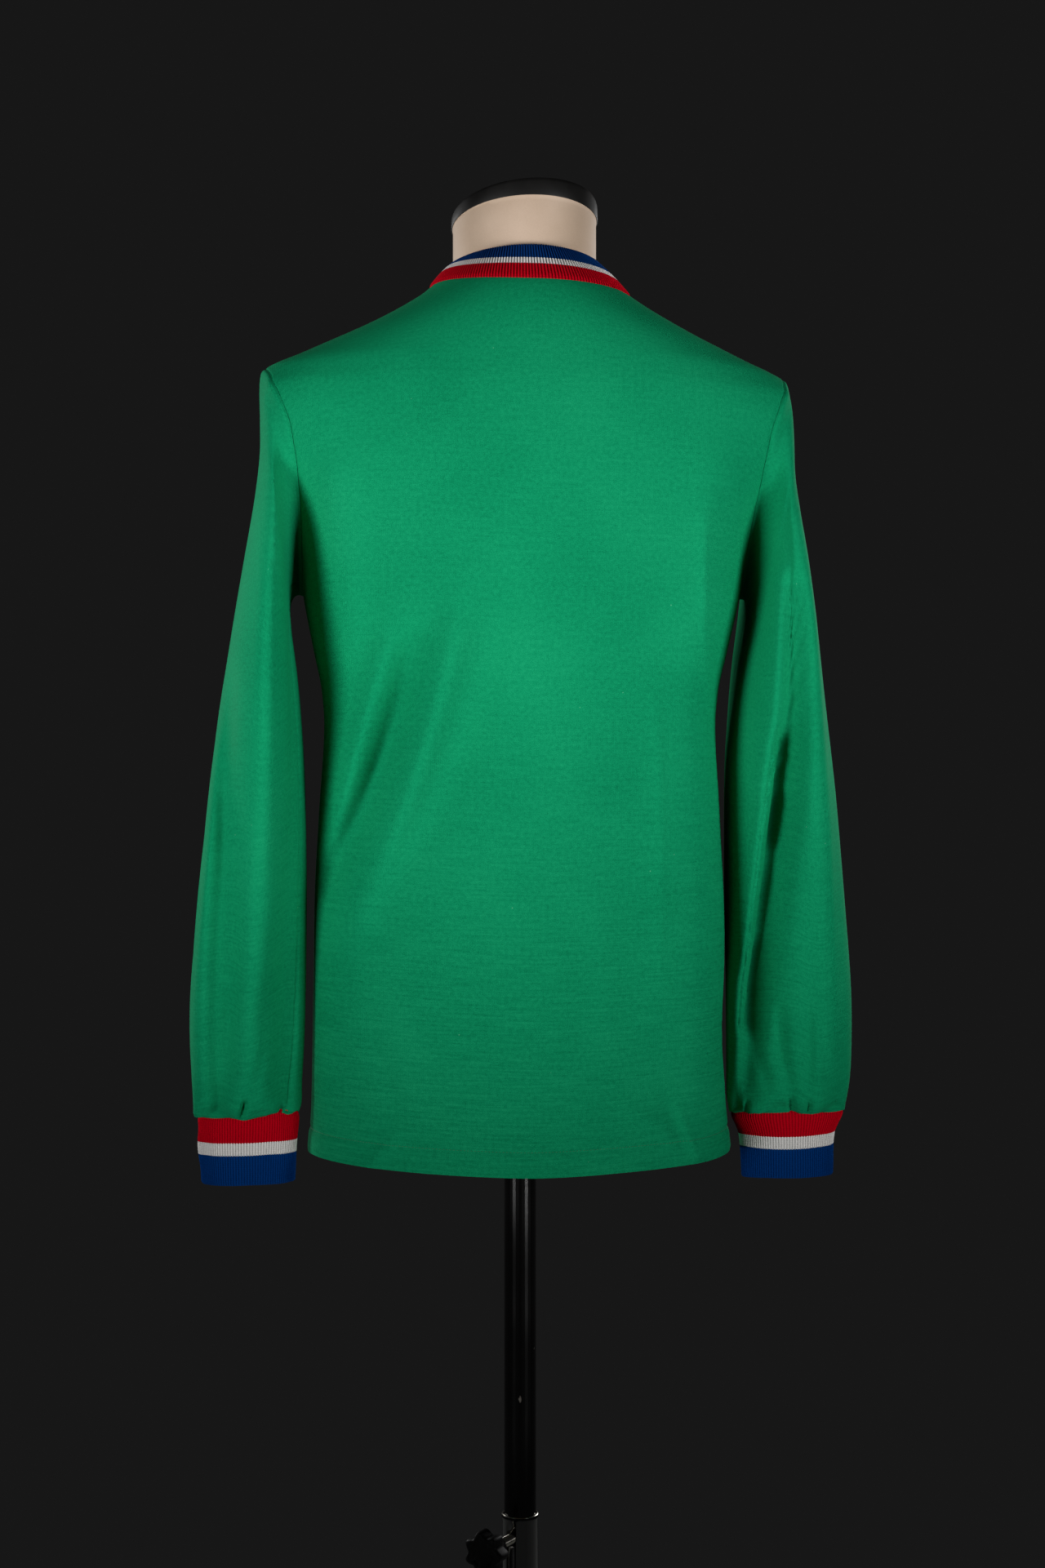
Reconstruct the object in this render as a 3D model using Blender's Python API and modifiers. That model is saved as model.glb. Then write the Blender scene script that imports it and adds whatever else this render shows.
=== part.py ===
"""Long-sleeved football jersey resting on a limbless dress form with a telescoping steel stand.

The jersey is seven cut pieces: back, front, two sleeves, rib neckband and two rib cuffs. Each is a
thin wall lofted through sections of a general figure. The dress form, its neck cap and the stand
carry it. Metres, +Z up. The back faces -Y, the wearer's right is +X, and the origin is the middle of
the base plate's underside.
"""

import bmesh
import bpy
import numpy as np
from math import cos, pi, radians, sin, tan
from mathutils import Matrix, Vector

# ---- Driving dimensions -------------------------------------------------------------------------
CLOTH = 0.0015          # wall of the interlock knit
HEM_CLOTH = 0.0022      # wall where the hem is turned up
RIB_CLOTH = 0.0022      # wall of the folded rib
SEAM_GAP = 0.0003       # between neighbouring pieces
HEM_Z = 0.810           # lower edge of the jersey
HEM_DEPTH = 0.019       # turned hem
HEM_SLOPE = 0.036       # the hem hangs lower towards +X by this much for each metre
HEM_SLOPE_RISE = 0.150  # height over which the slope dies away
UNDERARM_Z = 1.245
TIP_Z = 1.419           # shoulder tip
NECK_SIDE_Z = 1.4802    # where the shoulder seam meets the neckband
NECK_BACK_Z = 1.4775
NECK_FRONT_Z = 1.420
BEND_HOLD = 2.0         # sleeve rows over which the armhole's bend dies away
COLLAR_BACK = (-0.0665, 1.5075)     # y and z of the neckband's upper edge at the back
COLLAR_FRONT = (0.0570, 1.4440)     # the same in front
COLLAR_SIDE = (0.0588, 1.5022)      # x and z at the side
COLLAR_SWELL = 0.0008
SWAY = 0.003            # the form leans this far towards +X above its waist
SWAY_Z = (1.10, 1.35)   # levels between which it comes in
ARMHOLE_TURN = 29.0     # degrees that the armhole cuts into the panel from the side, halfway up
ARMHOLE_LEAN = 12.0     # degrees more that it cuts in nearer the shoulder

PANEL_COLUMNS = 20
SIDE_ROWS = 8
ARMHOLE_ROWS = 12       # per panel; a sleeve has twice as many points round
SHOULDER_ROWS = 4
SLEEVE_POINTS = 2 * ARMHOLE_ROWS
COLLAR_STEPS = 8        # rib points on each column of the neck edge
CUFF_SIDES = 36
CUFF_STEPS = 5          # rib points on each side: two make one rib
RIB_HEIGHT = 0.0005
LINE_STEPS = 25         # points on a fold's line
CALM_ROWS = 2.0         # panel columns over which folds die away at a seam
CALM_NECK = (0.03, 0.05)    # below the neckline: no fold at all, and where folds are whole
FOLD_START = 0.12       # share of a sleeve over which its folds come in
FOLD_END = 0.04         # share over which they die away above the cuff
GATHER_RISE = (0.80, 0.14)  # share of a sleeve where gathers start, and over which they rise
GATHER_END = 0.035
SETTLE_ROWS = 3.0       # sleeve rows over which an arm's own fullness comes in
SETTLE_END = 0.15       # share of the sleeve over which it goes again
TWIST_START = 0.55      # share of a sleeve where the cuff's twist begins
TILT_START = 0.80

FORM_BOTTOM_Z = 0.865
FORM_SIDES = 40
NECK_CENTRE_Y = -0.004
NECK_TOP_Z = 1.538
NECK_TILT = 12.0        # degrees, down to the front
CAP_RADIUS = 0.0563
CAP_HEIGHT = 0.012
CAP_ROUND = 0.004

POLE_RADIUS = 0.0125
POLE_BOTTOM_Z = 0.075
SOCKET_DEPTH = 0.060
RUN = 0.0003            # running clearance between sliding or turning pieces
TUBE_WALL = 0.0012
TUBE_TOP_Z = 0.529
BASE_RADIUS = 0.195
BASE_HEIGHT = 0.008
FLANGE_RADIUS = 0.034
FLANGE_HEIGHT = 0.006
ROUND_SIDES = 32
CLAMP_Z = 0.512
CLAMP_AZIMUTH = 38.0    # degrees from -Y towards -X
SCREW_RADIUS = 0.004
SCREW_LENGTH = 0.030
KNOB_RADIUS = 0.0152
KNOB_LOBE = 0.0018
KNOB_LOBES = 7
KNOB_LENGTH = 0.013
HUB_RADIUS = 0.0080
HUB_LENGTH = 0.011
HUB_BURY = 0.004        # of the hub inside the knob's head
WELL_DEPTH = 0.010      # the screw's end in the hub
EDGE_ROUND = 0.0015     # rounded edges of knob and base plate

# ---- Section tables -----------------------------------------------------------------------------
BODY_COLUMNS = ("z", "half_width", "back", "front", "centre")
BODY = (
    (0.8100, 0.1660, 0.1110, 0.1080, 0.0000),
    (0.8539, 0.1628, 0.1120, 0.1090, 0.0000),
    (0.8827, 0.1622, 0.1130, 0.1100, 0.0000),
    (0.9467, 0.1613, 0.1130, 0.1100, 0.0000),
    (1.0107, 0.1604, 0.1100, 0.1070, 0.0000),
    (1.0747, 0.1572, 0.1050, 0.1030, 0.0000),
    (1.1451, 0.1532, 0.1010, 0.1020, 0.0000),
    (1.1707, 0.1552, 0.1025, 0.1050, 0.0000),
    (1.2027, 0.1620, 0.1065, 0.1090, 0.0000),
    (1.2450, 0.1708, 0.1120, 0.1115, 0.0000),
    (1.2667, 0.1740, 0.1140, 0.1110, 0.0000),
    (1.2900, 0.1801, 0.1153, 0.1095, 0.0000),
    (1.3100, 0.1888, 0.1160, 0.1070, 0.0000),
    (1.3335, 0.2035, 0.1157, 0.1025, -0.0005),
    (1.3650, 0.2230, 0.1135, 0.0955, -0.0010),
    (1.3850, 0.2290, 0.1110, 0.0900, -0.0015),
    (1.4000, 0.2245, 0.1085, 0.0860, -0.0020),
    (1.4100, 0.2135, 0.1060, 0.0825, -0.0025),
    (1.4190, 0.2012, 0.1035, 0.0790, -0.0030),
    (1.4287, 0.1788, 0.1010, 0.0755, -0.0035),
    (1.4416, 0.1504, 0.0970, 0.0715, -0.0045),
    (1.4544, 0.1232, 0.0925, 0.0675, -0.0055),
    (1.4672, 0.0989, 0.0865, 0.0630, -0.0065),
    (1.4802, 0.0790, 0.0775, 0.0585, -0.0080),
    (1.4960, 0.0650, 0.0680, 0.0540, -0.0080),
)

# Folds pulled into the panels: three points (x, z) on the fold's line, its half width and its height.
FOLD_COLUMNS = ("x0", "z0", "x1", "z1", "x2", "z2", "half", "height")
BACK_FOLDS = (
    (-0.147, 1.040, -0.112, 1.112, -0.088, 1.200, 0.015, -0.0065),
    (-0.150, 1.055, -0.128, 1.130, -0.106, 1.225, 0.014, 0.0040),
    (-0.122, 1.048, -0.080, 1.140, -0.054, 1.250, 0.016, 0.0050),
    (-0.092, 1.050, -0.046, 1.142, -0.016, 1.300, 0.016, -0.0035),
    (0.128, 1.200, 0.131, 1.255, 0.130, 1.310, 0.012, 0.0025),
    (0.094, 0.930, 0.098, 1.040, 0.097, 1.160, 0.016, 0.0025),
    (0.108, 0.845, 0.122, 0.830, 0.137, 0.815, 0.012, 0.0030),
)
FRONT_FOLDS = (
    (0.140, 1.030, 0.106, 1.100, 0.080, 1.190, 0.016, -0.0055),
    (0.118, 1.035, 0.078, 1.125, 0.050, 1.235, 0.016, 0.0045),
    (-0.140, 1.060, -0.112, 1.120, -0.092, 1.205, 0.015, -0.0045),
    (-0.112, 1.060, -0.082, 1.130, -0.060, 1.240, 0.015, 0.0040),
    (-0.060, 0.900, -0.066, 0.980, -0.062, 1.060, 0.018, 0.0025),
    (0.030, 1.330, 0.000, 1.290, -0.034, 1.322, 0.016, 0.0025),
)

# The sleeve's outer rail and inner rail, from the armhole to the cuff, and the section between them.
SLEEVE_COLUMNS = ("outer_x", "outer_z", "inner_x", "inner_z", "half_depth", "centre")
SLEEVE = (
    (0.2043, 1.4166, 0.1738, 1.2464, 0.0532, -0.003),
    (0.2056, 1.4110, 0.1772, 1.2452, 0.0548, -0.003),
    (0.2061, 1.4000, 0.1796, 1.2405, 0.0595, -0.003),
    (0.2060, 1.3800, 0.1800, 1.2325, 0.0655, -0.003),
    (0.2064, 1.3530, 0.1792, 1.2230, 0.0722, -0.003),
    (0.2102, 1.3220, 0.1774, 1.2110, 0.0780, -0.004),
    (0.2168, 1.2850, 0.1748, 1.1960, 0.0830, -0.004),
    (0.2240, 1.2400, 0.1718, 1.1760, 0.0850, -0.005),
    (0.2304, 1.1950, 0.1688, 1.1520, 0.0830, -0.006),
    (0.2370, 1.1500, 0.1660, 1.1230, 0.0770, -0.007),
    (0.2436, 1.1000, 0.1645, 1.0900, 0.0680, -0.008),
    (0.2496, 1.0450, 0.1640, 1.0450, 0.0590, -0.009),
    (0.2546, 0.9950, 0.1640, 0.9950, 0.0505, -0.009),
    (0.2580, 0.9450, 0.1642, 0.9450, 0.0435, -0.010),
    (0.2590, 0.9000, 0.1648, 0.9000, 0.0380, -0.010),
    (0.2583, 0.8720, 0.1655, 0.8720, 0.0350, -0.010),
    (0.2563, 0.8560, 0.1660, 0.8560, 0.0320, -0.010),
    (0.2545, 0.8480, 0.1680, 0.8480, 0.0265, -0.010),
    (0.2529, 0.8428, 0.1697, 0.8428, 0.0195, -0.010),
)
CUFF_TOP_Z = 0.8425
CUFF_CENTRE_X = 0.2113
CUFF_CENTRE_Y = -0.010
CUFF = (        # down from the seam, half width, half depth
    (0.000, 0.0416, 0.0190),
    (0.018, 0.0386, 0.0180),
    (0.050, 0.0366, 0.0174),
)

# Sleeve folds: where along the sleeve and round it they start and end, half width round, and height.
# Along runs from 0 at the armhole to 1 at the cuff. Round is in degrees: 0 outer, 90 back, 180 inner.
LONG_COLUMNS = ("along0", "along1", "round0", "round1", "half", "height")
LEFT_FOLDS = (
    (0.45, 0.98, 34.0, 74.0, 16.0, -0.0050),
    (0.30, 0.92, 78.0, 116.0, 16.0, 0.0035),
    (0.25, 0.85, 150.0, 128.0, 14.0, -0.0030),
    (0.35, 0.95, 250.0, 286.0, 18.0, -0.0045),
    (0.30, 0.90, 300.0, 318.0, 14.0, 0.0030),
)
RIGHT_FOLDS = (
    (0.16, 0.60, 92.0, 96.0, 15.0, -0.0045),
    (0.55, 0.97, 96.0, 132.0, 16.0, -0.0060),
    (0.25, 0.95, 62.0, 66.0, 14.0, 0.0040),
    (0.40, 0.95, 262.0, 232.0, 18.0, -0.0045),
    (0.30, 0.85, 300.0, 292.0, 14.0, 0.0035),
)
# Gathers where the sleeve is sewn to the cuff: degrees round, half width and depth.
GATHER_COLUMNS = ("round", "half", "height")
LEFT_GATHERS = (
    (28.0, 13.0, 0.0035), (62.0, 12.0, -0.0050), (95.0, 14.0, 0.0035), (150.0, 13.0, -0.0040),
    (215.0, 13.0, -0.0040), (250.0, 14.0, 0.0035), (290.0, 13.0, -0.0045), (325.0, 12.0, 0.0030),
)
RIGHT_GATHERS = (
    (40.0, 12.0, -0.0035), (74.0, 13.0, 0.0035), (104.0, 12.0, -0.0045), (134.0, 13.0, 0.0035),
    (160.0, 12.0, -0.0035), (222.0, 14.0, -0.0045), (262.0, 13.0, 0.0035), (308.0, 13.0, -0.0040),
)
# What differs between the arms as they hang: how much fuller the outer rail is high and low, how far
# out and down the cuff end moves, and the cuff's twist about the vertical and its tilt, in degrees.
ARM_KEYS = (
    "side", "name", "folds", "gathers", "full_high", "full_low", "out", "drop", "twist", "tilt"
)
ARMS = (
    (-1, "left", LEFT_FOLDS, LEFT_GATHERS, 0.0000, -0.0035, 0.0010, 0.0015, 20.0, 3.5),
    (1, "right", RIGHT_FOLDS, RIGHT_GATHERS, 0.0030, 0.0022, 0.0012, 0.0050, 3.0, 0.0),
)

# The dress form, level by level, up to its round neck. Pinch hollows it beside the throat.
FORM_COLUMNS = ("z", "half_width", "back", "front", "centre", "pinch")
FORM = (
    (0.8650, 0.1420, 0.0900, 0.0880, 0.0000, 0.0),
    (0.8750, 0.1500, 0.0960, 0.0940, 0.0000, 0.0),
    (0.9500, 0.1530, 0.1030, 0.0960, 0.0000, 0.0),
    (1.0300, 0.1450, 0.0980, 0.0880, 0.0000, 0.0),
    (1.1300, 0.1230, 0.0860, 0.0840, 0.0000, 0.0),
    (1.2200, 0.1420, 0.0960, 0.0980, 0.0000, 0.0),
    (1.3000, 0.1600, 0.1080, 0.0980, 0.0000, 0.0),
    (1.3650, 0.1740, 0.1080, 0.0890, -0.0010, 0.0),
    (1.3950, 0.1830, 0.1040, 0.0800, -0.0020, 0.0),
    (1.4090, 0.1880, 0.1000, 0.0730, -0.0030, 0.2),
    (1.4180, 0.1850, 0.0975, 0.0695, -0.0030, 0.5),
    (1.4287, 0.1734, 0.0945, 0.0620, -0.0035, 0.9),
    (1.4416, 0.1450, 0.0905, 0.0565, -0.0045, 1.2),
    (1.4544, 0.1178, 0.0865, 0.0560, -0.0050, 1.5),
    (1.4672, 0.0935, 0.0810, 0.0560, -0.0050, 1.5),
    (1.4807, 0.0672, 0.0665, 0.0557, -0.0045, 1.2),
    (1.4937, 0.0562, 0.0572, 0.0557, -0.0040, 0.3),
    (1.5050, 0.0557, 0.0557, 0.0557, -0.0040, 0.0),
)


# ---- Reading the tables -------------------------------------------------------------------------
def smooth_column(table, columns, name, at):
    """A column of a table as a smooth curve over its first column that never overshoots a row."""
    rows = np.array(table)
    key = rows[:, 0]
    value = rows[:, columns.index(name)]
    step = np.diff(key)
    slope = np.diff(value) / step
    tangent = np.zeros(len(key))
    tangent[0] = slope[0]
    tangent[-1] = slope[-1]
    same_way = slope[:-1] * slope[1:] > 0
    weight_before = 2 * step[1:] + step[:-1]
    weight_after = step[1:] + 2 * step[:-1]
    safe_before = np.where(same_way, slope[:-1], 1.0)
    safe_after = np.where(same_way, slope[1:], 1.0)
    mean = (weight_before + weight_after) / (weight_before / safe_before + weight_after / safe_after)
    tangent[1:-1] = np.where(same_way, mean, 0.0)
    at = np.clip(np.asarray(at, float), key[0], key[-1])
    i = np.clip(np.searchsorted(key, at, side="right") - 1, 0, len(step) - 1)
    t = (at - key[i]) / step[i]
    rise = value[i + 1] - value[i]
    curve = (tangent[i] + tangent[i + 1]) * step[i] - 2 * rise
    bend = 3 * rise - (2 * tangent[i] + tangent[i + 1]) * step[i]
    return value[i] + t * (tangent[i] * step[i] + t * (bend + t * curve))


def section_point(table, columns, theta, z):
    """Points of a figure's level sections. Theta is 0 at the back, 90 degrees at +X, 180 in front."""
    width = smooth_column(table, columns, "half_width", z)
    back = smooth_column(table, columns, "back", z)
    front = smooth_column(table, columns, "front", z)
    centre = smooth_column(table, columns, "centre", z)
    away = np.cos(theta)
    depth = np.where(away > 0, back, front)
    if "pinch" in columns:
        pinch = np.where(away > 0, 0.0, smooth_column(table, columns, "pinch", z))
        away = np.sign(away) * np.abs(away) ** (1 + pinch)
    return np.stack([width * np.sin(theta), centre - depth * away, z + 0 * theta], axis=-1)


def unit(vectors):
    return vectors / np.linalg.norm(vectors, axis=-1, keepdims=True)


def swayed(points):
    """The same points with the form's lean towards +X."""
    share = np.clip((points[..., 2] - SWAY_Z[0]) / (SWAY_Z[1] - SWAY_Z[0]), 0, 1)
    lean = SWAY * share * share * (3 - 2 * share)
    return points + lean[..., None] * np.array([1.0, 0.0, 0.0])


def body_point(theta, z):
    return section_point(BODY, BODY_COLUMNS, theta, z)


def body_normal(theta, z):
    """The outward normal of the figure, from small steps along both directions."""
    turn = 0.002
    rise = 0.0004
    along = body_point(theta + turn, z) - body_point(theta - turn, z)
    up = body_point(theta, z + rise) - body_point(theta, z - rise)
    return unit(np.cross(along, up))


def fold_height(folds, x, z):
    """How far the folds push the cloth out at (x, z): soft ridges and troughs along bent lines."""
    height = np.zeros(np.shape(x))
    steps = np.linspace(0, 1, LINE_STEPS)
    for fold in folds:
        f = dict(zip(FOLD_COLUMNS, fold))
        line_x = (1 - steps) ** 2 * f["x0"] + steps ** 2 * f["x2"]
        line_x = line_x + 2 * steps * (1 - steps) * (2 * f["x1"] - (f["x0"] + f["x2"]) / 2)
        line_z = (1 - steps) ** 2 * f["z0"] + steps ** 2 * f["z2"]
        line_z = line_z + 2 * steps * (1 - steps) * (2 * f["z1"] - (f["z0"] + f["z2"]) / 2)
        gap = np.hypot(x[..., None] - line_x, z[..., None] - line_z)
        nearest = np.argmin(gap, axis=-1)
        fade = np.sqrt(np.sin(pi * (0.08 + 0.84 * steps[nearest])))
        height = height + f["height"] * fade * np.exp(-((np.min(gap, axis=-1) / f["half"]) ** 2))
    return height


# ---- Edges that neighbouring pieces share ---------------------------------------------------------
def armhole_angles(alpha, half):
    """Theta and z of the armhole at alpha, which is 0 at the shoulder tip and pi under the arm.

    half is 0 on the back panel and 1 on the front panel.
    """
    middle = (TIP_Z + UNDERARM_Z) / 2
    reach = (TIP_Z - UNDERARM_Z) / 2
    turn = radians(ARMHOLE_TURN) * np.sin(alpha) + radians(ARMHOLE_LEAN) * np.sin(2 * alpha)
    theta = pi / 2 + np.where(half > 0, turn, -turn)
    return theta, middle + reach * np.cos(alpha)


def neck_angles(phi):
    """Theta and z of the neckline at phi, which is 0 at the back and pi in front, for one side."""
    phi = np.asarray(phi, float)
    low = np.where(np.cos(phi) > 0, NECK_BACK_Z, NECK_FRONT_Z)
    z = low + (NECK_SIDE_Z - low) * np.sin(phi) ** 2
    side = smooth_column(BODY, BODY_COLUMNS, "half_width", NECK_SIDE_Z)
    width = smooth_column(BODY, BODY_COLUMNS, "half_width", z)
    turn = np.arcsin(np.clip(side * np.sin(phi) / width, -1, 1))
    return np.where(np.cos(phi) > 0, turn, pi - turn), z


# ---- Mesh helpers -------------------------------------------------------------------------------
def principled(name, colour, roughness, metallic=0.0):
    material = bpy.data.materials.new(name)
    material.use_nodes = True
    shader = material.node_tree.nodes["Principled BSDF"]
    shader.inputs["Base Color"].default_value = (*colour, 1.0)
    shader.inputs["Roughness"].default_value = roughness
    shader.inputs["Metallic"].default_value = metallic
    return material


def add_mesh(name, points, faces, material, smooth_angle=40.0):
    """A named object from points and faces, with its faces turned outward and smooth shading."""
    mesh = bpy.data.meshes.new(name)
    mesh.from_pydata([tuple(p) for p in points], [], faces)
    build = bmesh.new()
    build.from_mesh(mesh)
    bmesh.ops.recalc_face_normals(build, faces=build.faces)
    build.to_mesh(mesh)
    build.free()
    mesh.shade_smooth()
    mesh.set_sharp_from_angle(angle=radians(smooth_angle))
    mesh.materials.append(material)
    thing = bpy.data.objects.new(name, mesh)
    parts.objects.link(thing)
    return thing


def sheet_faces(rows, columns, start=0, closed=False):
    """Faces of a grid of points, row by row. A closed grid joins its last column to its first."""
    faces = []
    for r in range(rows - 1):
        for c in range(columns if closed else columns - 1):
            here = start + r * columns + c
            beside = start + r * columns + (c + 1) % columns
            faces.append((here, beside, beside + columns, here + columns))
    return faces


def wall_sheet(name, outer, inner, material):
    """A closed wall between two equal open grids of points."""
    rows, columns = outer.shape[:2]
    count = rows * columns
    points = np.concatenate([outer.reshape(-1, 3), inner.reshape(-1, 3)])
    faces = sheet_faces(rows, columns) + sheet_faces(rows, columns, count)
    rim = list(range(columns))
    rim += [r * columns + columns - 1 for r in range(1, rows)]
    rim += [(rows - 1) * columns + c for c in range(columns - 2, -1, -1)]
    rim += [r * columns for r in range(rows - 2, 0, -1)]
    for here, beside in zip(rim, rim[1:] + rim[:1]):
        faces.append((here, beside, beside + count, here + count))
    return add_mesh(name, points, faces, material)


def wall_tube(name, outer, inner, material):
    """A closed wall between two tubes of rings. The outer rings may have several points for one."""
    outer_rows, outer_columns = outer.shape[:2]
    inner_rows, inner_columns = inner.shape[:2]
    count = outer_rows * outer_columns
    points = np.concatenate([outer.reshape(-1, 3), inner.reshape(-1, 3)])
    faces = sheet_faces(outer_rows, outer_columns, 0, True)
    faces += sheet_faces(inner_rows, inner_columns, count, True)
    share = outer_columns // inner_columns
    ends = ((0, count), ((outer_rows - 1) * outer_columns, count + (inner_rows - 1) * inner_columns))
    for outer_start, inner_start in ends:
        for i in range(inner_columns):
            near = inner_start + i
            far = inner_start + (i + 1) % inner_columns
            fan = [outer_start + (i * share + k) % outer_columns for k in range(share + 1)]
            if share == 1:
                faces.append((near, far, fan[1], fan[0]))
                continue
            middle = share // 2
            for k in range(share):
                faces.append((fan[k], fan[k + 1], near if k < middle else far))
            faces.append((near, far, fan[middle]))
    return add_mesh(name, points, faces, material)


def spread(rings, steps):
    """Rings with each side divided into equal steps."""
    following = np.roll(rings, -1, axis=1)
    share = (np.arange(steps) / steps)[None, None, :, None]
    points = rings[:, :, None] * (1 - share) + following[:, :, None] * share
    return points.reshape(rings.shape[0], -1, 3)


def ribbed(rings, steps):
    """Outer rings of a rib wall: every other point stands RIB_HEIGHT above the plain wall."""
    fine = spread(rings, steps)
    around = np.roll(fine, -1, axis=1) - np.roll(fine, 1, axis=1)
    down = np.gradient(fine, axis=0)
    outward = unit(np.cross(around, down))
    middle = fine.mean(axis=(0, 1))
    facing = np.sign(np.sum(outward * (fine - middle), axis=-1).mean())
    raise_by = np.where(np.arange(fine.shape[1]) % 2 == 0, RIB_HEIGHT, 0.0)
    return fine + facing * outward * raise_by[None, :, None]


# ---- The jersey ---------------------------------------------------------------------------------
def panel_rows():
    """For each row up a panel's edge: theta and z of its end, and how far it is up to the neck."""
    hem = HEM_Z + HEM_DEPTH
    side = np.concatenate([[HEM_Z], np.linspace(hem, UNDERARM_Z, SIDE_ROWS + 1)[:-1]])
    theta = [pi / 2] * len(side)
    z = list(side)
    for alpha in np.linspace(pi, 0, ARMHOLE_ROWS + 1):
        turn, height = armhole_angles(alpha, 0)
        theta.append(float(turn))
        z.append(float(height))
    for share in np.linspace(0, 1, SHOULDER_ROWS + 1)[1:]:
        theta.append(pi / 2)
        z.append(TIP_Z + (NECK_SIDE_Z - TIP_Z) * share)
    climb = np.clip((np.array(z) - UNDERARM_Z) / (NECK_SIDE_Z - UNDERARM_Z), 0, 1)
    return np.array(theta), np.array(z), climb


def add_panel(name, front, folds, material):
    """The back or front: rows from the hem to the neckline, cut to the side, armhole and shoulder."""
    end_theta, end_z, climb = panel_rows()
    neck_z = NECK_FRONT_Z if front else NECK_BACK_Z
    middle_z = np.where(climb > 0, UNDERARM_Z + climb * (neck_z - UNDERARM_Z), end_z)
    across = np.linspace(-1, 1, PANEL_COLUMNS + 1)[None, :]
    end_theta, end_z, middle_z = end_theta[:, None], end_z[:, None], middle_z[:, None]
    z = middle_z + (end_z - middle_z) * np.sin(across * pi / 2) ** 2
    end_x = smooth_column(BODY, BODY_COLUMNS, "half_width", end_z) * np.sin(end_theta)
    x = end_x * np.sin(across * pi / 2)
    width = smooth_column(BODY, BODY_COLUMNS, "half_width", z)
    theta = np.arcsin(np.clip(x / width, -1, 1))
    z = z - HEM_SLOPE * x * np.clip(1 - (z - HEM_Z) / HEM_SLOPE_RISE, 0, 1)
    gap_turn = SEAM_GAP / 2 / smooth_column(BODY, BODY_COLUMNS, "back", z)
    theta = np.clip(theta, -pi / 2 + gap_turn, pi / 2 - gap_turn)
    if front:
        theta = pi - theta
    edge = (1 - np.abs(across)) * PANEL_COLUMNS / 2
    calm = np.clip(edge / CALM_ROWS, 0, 1)
    calm = calm * np.clip((NECK_BACK_Z - CALM_NECK[0] - z) / CALM_NECK[1], 0, 1)
    shape = body_point(theta, z)
    outward = body_normal(theta, z)
    lift = fold_height(folds, shape[..., 0], z) * calm
    wall = np.full(z.shape, CLOTH)
    wall[:2] = HEM_CLOTH
    outer = shape + outward * lift[..., None]
    inner = shape + outward * (lift - wall)[..., None]
    return wall_sheet(name, swayed(outer), swayed(inner), material)


def edge_loops(theta, z, outside, wall):
    """Outer and inner loops that start SEAM_GAP off an edge of the body, and lie along its wall."""
    line = body_point(theta, z)
    outward = body_normal(theta, z)
    along = np.roll(line, -1, axis=0) - np.roll(line, 1, axis=0)
    off = unit(np.cross(along, outward))
    off = off * np.sign(np.sum(off * outside, axis=-1, keepdims=True))
    outer = line + off * SEAM_GAP
    return outer, outer - outward * wall


def turn_angles(count):
    """Angles of equal steps once round, from 0."""
    return np.arange(count) * 2 * pi / count


def long_fold_height(folds, along, around):
    """How far the folds that run down a sleeve push its cloth out."""
    height = np.zeros(np.broadcast(along, around).shape)
    for fold in folds:
        f = dict(zip(LONG_COLUMNS, fold))
        share = (along - f["along0"]) / (f["along1"] - f["along0"])
        fade = np.sqrt(np.clip(np.sin(pi * np.clip(share, 0, 1)), 0, 1))
        centre = f["round0"] + (f["round1"] - f["round0"]) * share
        away = (np.degrees(around) - centre + 180) % 360 - 180
        height = height + f["height"] * fade * np.exp(-((away / f["half"]) ** 2))
    return height


def gather_height(gathers, along, around):
    """Gathers that start a hand's width above the cuff and are deepest just over it."""
    height = np.zeros(np.broadcast(along, around).shape)
    rise = np.clip((along - GATHER_RISE[0]) / GATHER_RISE[1], 0, 1)
    rise = rise * np.clip((1 - along) / GATHER_END, 0, 1)
    for gather in gathers:
        g = dict(zip(GATHER_COLUMNS, gather))
        away = (np.degrees(around) - g["round"] + 180) % 360 - 180
        height = height + g["height"] * rise * np.exp(-((away / g["half"]) ** 2))
    return height


def hang(points, arm, along):
    """The lower sleeve and cuff as this arm hangs: shifted out, dropped, twisted and tilted."""
    centre = np.array([CUFF_CENTRE_X, CUFF_CENTRE_Y, CUFF_TOP_Z])
    turn_share = np.clip((along - TWIST_START) / (1 - TWIST_START), 0, 1)
    angle = radians(arm["twist"]) * turn_share * turn_share * (3 - 2 * turn_share)
    lean = radians(arm["tilt"]) * np.clip((along - TILT_START) / (1 - TILT_START), 0, 1)
    turn = np.array(Matrix.Rotation(angle, 3, "Z") @ Matrix.Rotation(lean, 3, "Y"))
    shift = np.array([arm["out"] * along ** 2, 0.0, -arm["drop"] * along ** 2])
    hung = (points - centre) @ turn.T + centre + shift
    return hung * np.array([arm["side"], 1, 1])


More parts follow.
